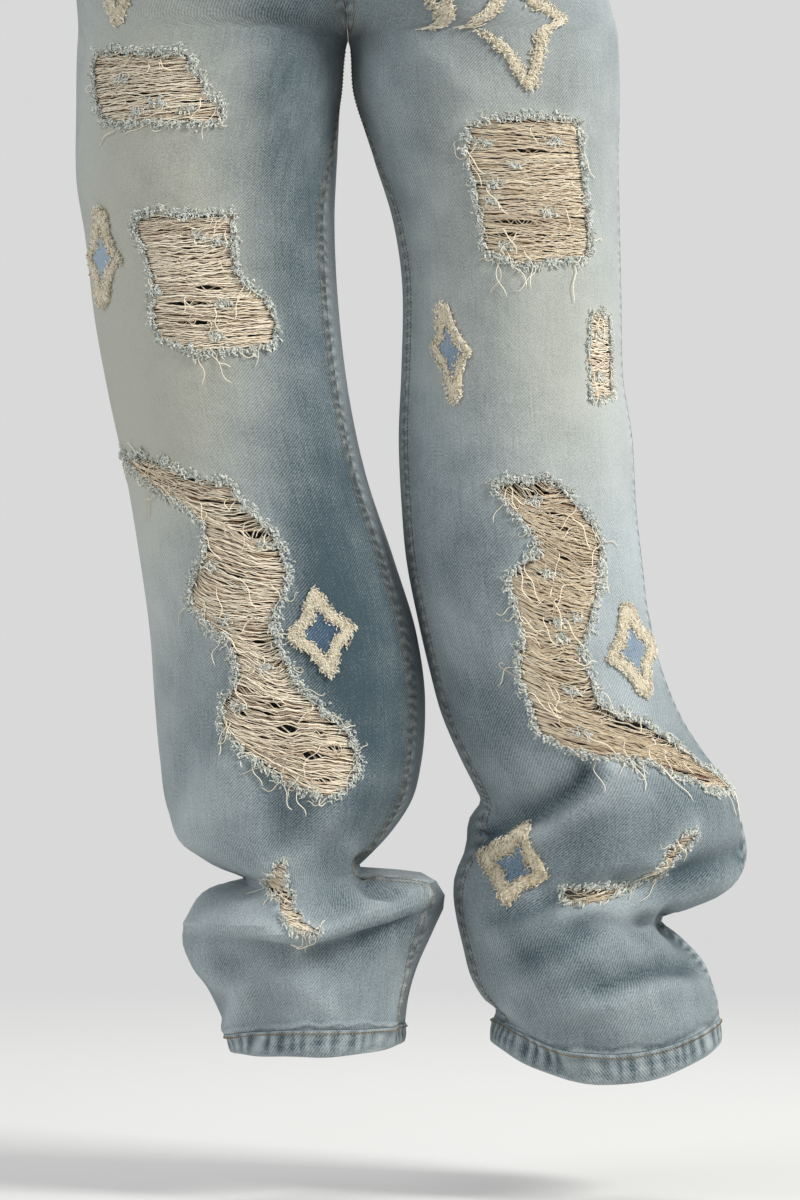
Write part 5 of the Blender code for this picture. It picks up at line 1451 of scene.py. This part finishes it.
# %% Waistband
BAND_HALF_HEIGHT = 20.0
BAND_TAPER = 4.0
BAND_OPENING = -14.0
BAND_SECTIONS = 300
BAND_RADIUS = 134.0
BAND_PROFILE = (
    (-19.6, 0.0), (-19.4, 0.7), (-17.5, 1.0), (-14.0, 0.85), (-7.0, 1.0), (0.0, 1.05), (7.0, 1.0),
    (14.0, 0.85), (17.5, 1.0), (19.4, 0.7), (20.0, -0.6), (20.0, -1.6), (19.0, -2.4), (6.0, -2.5),
    (-6.0, -2.5), (-19.0, -2.4))


def band_point(angle, height, out):
    """A point on the waistband: its outline, a height over the waist line, and how far outside."""
    _, outer, _, front, back = HIP_RINGS[0]
    taper = BAND_TAPER * (height + BAND_HALF_HEIGHT) / (2 * BAND_HALF_HEIGHT)
    side_y = (back - front) / 2
    deep = front + side_y if sin(angle) > 0 else back - side_y
    normal = np.array((cos(angle) / outer, -sin(angle) / deep, 0.0))
    normal /= np.linalg.norm(normal)
    base = np.array((outer * cos(angle), side_y - deep * sin(angle), height))
    return base + normal * (out - taper), normal


start = pi / 2 - (BAND_OPENING - 2 * HALF_GAP) / HIP_RINGS[0][1]
turns = start + np.linspace(0, 2 * pi - 4 * HALF_GAP / HIP_RINGS[0][1], BAND_SECTIONS)
sections, looks = [], []
for turn in turns:
    rows, shades = [], []
    for height, out in BAND_PROFILE:
        ripple = 0.3 * sin(turn * 95 + height * 0.35) * (1 if out > 0 else 0) * cos(height / 13.5) ** 2
        rows.append(band_point(turn, height, out + ripple)[0])
        shades.append((0.46 + 0.12 * smooth(15, 20, abs(height)) + 0.25 * ripple, 0.15, 10.0))
    sections.append(rows)
    looks.append(shades)
waistband = make_swept("denim_waistband", np.array(sections), (WASHED_DENIM,), np.array(looks), closed=False)
put_on(waistband, "washed_denim", "waistband")
rows = []
for height in (-16.4, 16.4):
    for at in np.arange(0, 2 * pi - 0.03, STITCH_PITCH / BAND_RADIUS):
        stitch = zip(start + at + STITCH_LENGTH / BAND_RADIUS * STITCH_PARTS, (0.75, 1.5, 1.5, 0.75))
        rows.append(np.array([band_point(turn, height, up)[0] for turn, up in stitch]))
sew("waistband_stitches", rows, STITCH_RADIUS, 520, 0.5, 0.12)

# %% Belt loops
LOOP_WIDTH = 11.0
LOOP_THICK = 1.6
LOOP_STITCH_RADIUS = 0.36
LOOP_ANGLES = (38, 142, 205, 270, 335)
LOOP_PROFILE = (
    (18.5, 0.0), (18.0, 0.6), (17.0, 1.0), (13.5, 2.3), (8.0, 3.4), (0.0, 3.7), (-8.0, 3.4), (-13.0, 2.1),
    (-16.0, 1.0), (-17.0, 0.5), (-17.5, 0.0))
LOOP_SECTION = (
    (-1, 0), (-0.97, 0.7), (-0.8, 1), (-0.4, 0.9), (0, 1.05), (0.4, 0.9), (0.8, 1), (0.97, 0.7), (1, 0))
for number, degrees in enumerate(LOOP_ANGLES, start=1):
    angle = radians(degrees)
    _, normal = band_point(angle, 0.0, 0.6)
    tangent = np.array((-normal[1], normal[0], 0.0))
    sections, rows = [], []
    for height, rise in LOOP_PROFILE:
        seat, _ = band_point(angle, height, 0.95 + rise)
        sections.append([seat + tangent * across * LOOP_WIDTH / 2 + normal * up * LOOP_THICK
                         for across, up in LOOP_SECTION])
    looks = np.tile((0.5, 0.1, 6.0), (len(sections), len(LOOP_SECTION), 1))
    piece = make_swept(f"denim_belt_loop_{number}", np.array(sections), (WASHED_DENIM,), looks, closed=False)
    put_on(piece, "washed_denim", f"belt_loop_{number}")
    for across in (-3.4, 3.4):
        for height in np.arange(-12.5, 12.5, STITCH_PITCH):
            at = height + STITCH_LENGTH * STITCH_PARTS
            rise = np.interp(at, [h for h, _ in LOOP_PROFILE[::-1]], [r for _, r in LOOP_PROFILE[::-1]])
            rows.append(np.array([
                band_point(angle, h, 0.95 + r + LOOP_THICK * 0.93 + up)[0] + tangent * across
                for h, r, up in zip(at, rise, (-0.1, 0.35, 0.35, -0.1))]))
    for end in (17.2, -16.4):
        for step in range(9):
            height = end + 0.32 * (step - 4)
            tack = zip(np.linspace(-4.4, 4.4, 4), (0.0, 0.35, 0.35, 0.0))
            rows.append(np.array([
                band_point(angle, height, 1.3 + LOOP_THICK + up)[0] + tangent * across for across, up in tack]))
    sew(f"loop_stitches_{number}", rows, LOOP_STITCH_RADIUS, 525, 0.5, 0.0)

# %% [markdown]
# ## The shank button
# A jeans button is pressed from brass and copper plated: a rolled rim, a sunken ring with fine knurling, and
# a plain dome in the middle. It is turned on a lathe here as a profile of radius and height, and its finish
# is dulled where the plating has worn.

# %% Copper-plated button
BUTTON_STEPS = 64
KNURLS = 32
KNURL_DEPTH = 0.10
BUTTON_PROFILE = (
    (0.0, 2.55), (1.6, 2.5), (2.6, 2.25), (3.1, 1.95), (3.6, 1.75), (5.3, 1.75), (5.8, 2.1), (6.3, 2.85),
    (7.0, 3.15), (7.7, 3.1), (8.2, 2.7), (8.5, 2.1), (8.4, 1.2), (7.8, 0.5), (6.6, 0.1), (0.0, 0.1))
low, high = (band_point(pi / 2, height, 0.95)[0] for height in (-8.0, 8.0))
up = (high - low) / np.linalg.norm(high - low)
side_way = np.array((1.0, 0.0, 0.0))
out = np.cross(side_way, up)
seat = (low + high) / 2 + out * 0.3
sections = []
for turn in 2 * pi * np.arange(BUTTON_STEPS) / BUTTON_STEPS:
    knurl = KNURL_DEPTH * cos(KNURLS * turn)
    rim = side_way * cos(turn) + up * sin(turn)
    sections.append([seat + rim * radius + out * (rise + (knurl if 3.4 < radius < 5.5 else 0.0))
                     for radius, rise in BUTTON_PROFILE])
COPPER, tree, shader = new_material("copper_plated_brass", roughness=0.34, metallic=1.0)
place = add_node(tree, "TexCoord").outputs["Object"]
worn = add_node(tree, "TexNoise", {"Vector": place, "Scale": 420.0, "Detail": 3.0}).outputs["Fac"]
shades = {0: worn, 6: linear("#7a4a30"), 7: linear("#c08a62")}
tint = add_node(tree, "Mix", shades, data_type="RGBA").outputs[2]
tree.links.new(tint, shader.inputs["Base Color"])
bump = add_node(tree, "Bump", {"Height": worn, "Strength": 0.25, "Distance": 0.0003}).outputs[0]
tree.links.new(bump, shader.inputs["Normal"])
looks = np.zeros((BUTTON_STEPS, len(BUTTON_PROFILE), 3))
button = make_swept("shank_button", np.array(sections), (COPPER,), looks, closed=True)
put_on(button, "copper_button", "button")

# %% [markdown]
# ## Pockets and fly
# The front pocket opening shows a facing of the same denim behind it. Each back pocket is one shaped patch
# with a turned hem at its top, and the fly is a flap with a curved lower end. All are second layers of cloth,
# so each is a thin shell laid on the panel below, with two rows of stitches; the back pockets have a slight
# crown.

# %% Pocket facings, back pockets and fly
POCKET_FACING_LAP = 8.0
BACK_POCKET_WIDTH = 148.0
BACK_POCKET_HEIGHT = 138.0
BACK_POCKET_FROM_CENTRE = 48.0
BACK_POCKET_TOP = 72.0
BACK_POCKET_TAPER = 7.0
BACK_POCKET_SLOPE = 6.0
BACK_POCKET_SIDE = 0.82
FLY_WIDTH = 38.0
FLY_LENGTH = 150.0
PATCH_LIFT = 0.3
PATCH_CROWN = 0.9


def fly_curve(bend, shrink):
    """The rounded lower end of the fly, drawn in by a share for its stitches."""
    angles = np.linspace(0, pi / 2, 14)
    return np.column_stack((
        PANEL_WIDTH - bend * shrink * np.cos(angles),
        FLY_LENGTH - bend * 1.3 + bend * 1.3 * shrink * np.sin(angles)))


for side in LEGS:
    front, back, rows = FRONTS[side], BACKS[side], []
    wider = pocket_scoop(front, POCKET_FACING_LAP)
    facing = np.vstack(((0.5, 0.5), wider * 0.995 + 0.3))
    piece = make_cloth(
        f"denim_pocket_facing_{side}", front, facing, -CLOTH - PATCH_LIFT, -2 * CLOTH - PATCH_LIFT,
        (WASHED_DENIM,), (), 4.0)
    put_on(piece, "washed_denim", f"pocket_facing_{side}")
    unit = float(back.width(BACK_POCKET_TOP + 60)) / PANEL_WIDTH
    left, right = BACK_POCKET_FROM_CENTRE / unit, (BACK_POCKET_FROM_CENTRE + BACK_POCKET_WIDTH) / unit
    top, height, middle = BACK_POCKET_TOP, BACK_POCKET_HEIGHT, (left + right) / 2
    low_side = top + height * BACK_POCKET_SIDE
    pocket = np.array((
        (left, top), (right, top - BACK_POCKET_SLOPE), (right - BACK_POCKET_TAPER, low_side),
        (middle, top + height), (left + BACK_POCKET_TAPER, low_side)))

    def crown(flat):
        return PATCH_LIFT + CLOTH + PATCH_CROWN * smooth(0, 30, gap_to_loop(flat, pocket))

    piece = make_cloth(f"denim_back_pocket_{side}", back, pocket, crown, PATCH_LIFT, (WASHED_DENIM,), (), 3.2)
    put_on(piece, "washed_denim", f"back_pocket_{side}")
    for gap in (2.6, 8.8):
        inner = np.array((
            (left + gap, top + gap), (left + BACK_POCKET_TAPER + gap, low_side - 0.2 * gap),
            (middle, top + height - gap), (right - BACK_POCKET_TAPER - gap, low_side - 0.2 * gap),
            (right - gap, top - BACK_POCKET_SLOPE + gap)))
        rows += stitch_row(back, inner, CLOTH + PATCH_LIFT + 0.2)
    for gap in (11.0, 17.0):
        turned_top = (left + 2, top + gap), (right - 2, top - BACK_POCKET_SLOPE + gap)
        rows += stitch_row(back, turned_top, CLOTH + PATCH_LIFT + 0.35)
    if side == "left":
        unit = float(front.width(FLY_LENGTH / 2)) / PANEL_WIDTH
        bend, edge = FLY_WIDTH / unit, PANEL_WIDTH - 0.4
        outline = np.vstack((
            (PANEL_WIDTH - bend, 0.6), fly_curve(bend, 1.0)[:-1], (edge, FLY_LENGTH), (edge, 0.6)))
        piece = make_cloth("denim_fly", front, outline, PATCH_LIFT + CLOTH, PATCH_LIFT, (WASHED_DENIM,), (), 3.0)
        put_on(piece, "washed_denim", "fly_flap")
        for gap in (3.2, 9.4):
            shrink = 1 - gap / bend
            line = np.vstack(((PANEL_WIDTH - bend * shrink, 2.0), fly_curve(bend, shrink)))
            rows += stitch_row(front, line, CLOTH + PATCH_LIFT)
    sew(f"pocket_stitches_{side}", rows, STITCH_RADIUS, 530, 0.5, 0.12)

# %% [markdown]
# ## The camera, the light and the floor
# The photograph was taken from the height of the knees through a long lens, against a pale seamless
# background, in broad soft light from the upper right with a weaker fill from the left. A wall behind the
# jeans would stand in the way of a look at their back, so the pale background is the world itself. The floor
# is a round sheet of paper that fades out into it, which leaves no edge from any side.

# %% Camera and lights
CAMERA_PLACE = (0.047, -4.4, -0.655)
PICTURE_HEIGHT = 0.9
SENSOR = 36.0
AMBIENT = 0.33
BACKGROUND = 0.82
camera = bpy.data.objects.new("camera", bpy.data.cameras.new("camera"))
camera.location = CAMERA_PLACE
camera.rotation_euler = (pi / 2, 0, 0)
camera.data.sensor_fit = "VERTICAL"
camera.data.sensor_height = SENSOR
camera.data.lens = SENSOR * -CAMERA_PLACE[1] / PICTURE_HEIGHT
bpy.context.scene.collection.objects.link(camera)
bpy.context.scene.camera = camera


def add_light(name, place, size, power, colour):
    """A soft square light that faces the middle of the jeans."""
    lamp = bpy.data.lights.new(name, "AREA")
    lamp.size, lamp.energy, lamp.color = size, power, colour
    made = bpy.data.objects.new(name, lamp)
    made.location = place
    made.rotation_euler = (Vector((0.05, 0, -0.6)) - Vector(place)).to_track_quat("-Z", "Y").to_euler()
    bpy.context.scene.collection.objects.link(made)


add_light("window_right", (2.9, -1.9, 1.7), 1.4, 158, (1.0, 0.985, 0.96))
add_light("fill_left", (-2.9, -1.7, 0.5), 1.8, 44, (0.95, 0.97, 1.0))
add_light("soft_behind", (0.6, 3.4, 1.6), 2.4, 125, (1.0, 0.99, 0.98))
world = bpy.data.worlds.new("studio")
world.use_nodes = True
air = world.node_tree
ambient = air.nodes["Background"]
ambient.inputs["Color"].default_value = linear("#e9ecee")
ambient.inputs["Strength"].default_value = AMBIENT
pale = add_node(air, "Background", {"Color": linear("#ecedec"), "Strength": BACKGROUND}).outputs[0]
seen = add_node(air, "LightPath").outputs["Is Camera Ray"]
both = add_node(air, "MixShader", {0: seen, 1: ambient.outputs[0], 2: pale}).outputs[0]
air.links.new(both, air.nodes["World Output"].inputs["Surface"])
bpy.context.scene.world = world
bpy.context.scene.view_settings.view_transform = "Standard"
print("lights:", len(bpy.data.lights))

# %% Paper floor
FLOOR = -1.10
FLOOR_RADIUS = 2.6
FLOOR_SOLID = 0.3
FLOOR_STEPS = 96
turns = 2 * pi * np.arange(FLOOR_STEPS) / FLOOR_STEPS
points = np.column_stack((np.cos(turns), np.sin(turns), np.zeros(FLOOR_STEPS))) * FLOOR_RADIUS + (0, 0, FLOOR)
paper_finish, paper_tree, paper_shader = new_material("matt_paper_floor", roughness=0.95)
paper_shader.inputs["Base Color"].default_value = linear("#d5d5d3")
place = add_node(paper_tree, "TexCoord").outputs["Object"]
level = add_node(paper_tree, "VectorMath", {0: place, 1: (1.0, 1.0, 0.0)}, operation="MULTIPLY").outputs[0]
reach = add_node(paper_tree, "VectorMath", {0: level}, operation="LENGTH").outputs["Value"]
alpha = add_node(
    paper_tree, "MapRange", {"Value": reach, "From Min": FLOOR_SOLID, "From Max": 0.95 * FLOOR_RADIUS,
                             "To Min": 1.0, "To Max": 0.0}, interpolation_type="SMOOTHSTEP").outputs[0]
paper_tree.links.new(alpha, paper_shader.inputs["Alpha"])
paper = make_mesh("paper_floor", points / MM, [list(range(FLOOR_STEPS))], (paper_finish,))
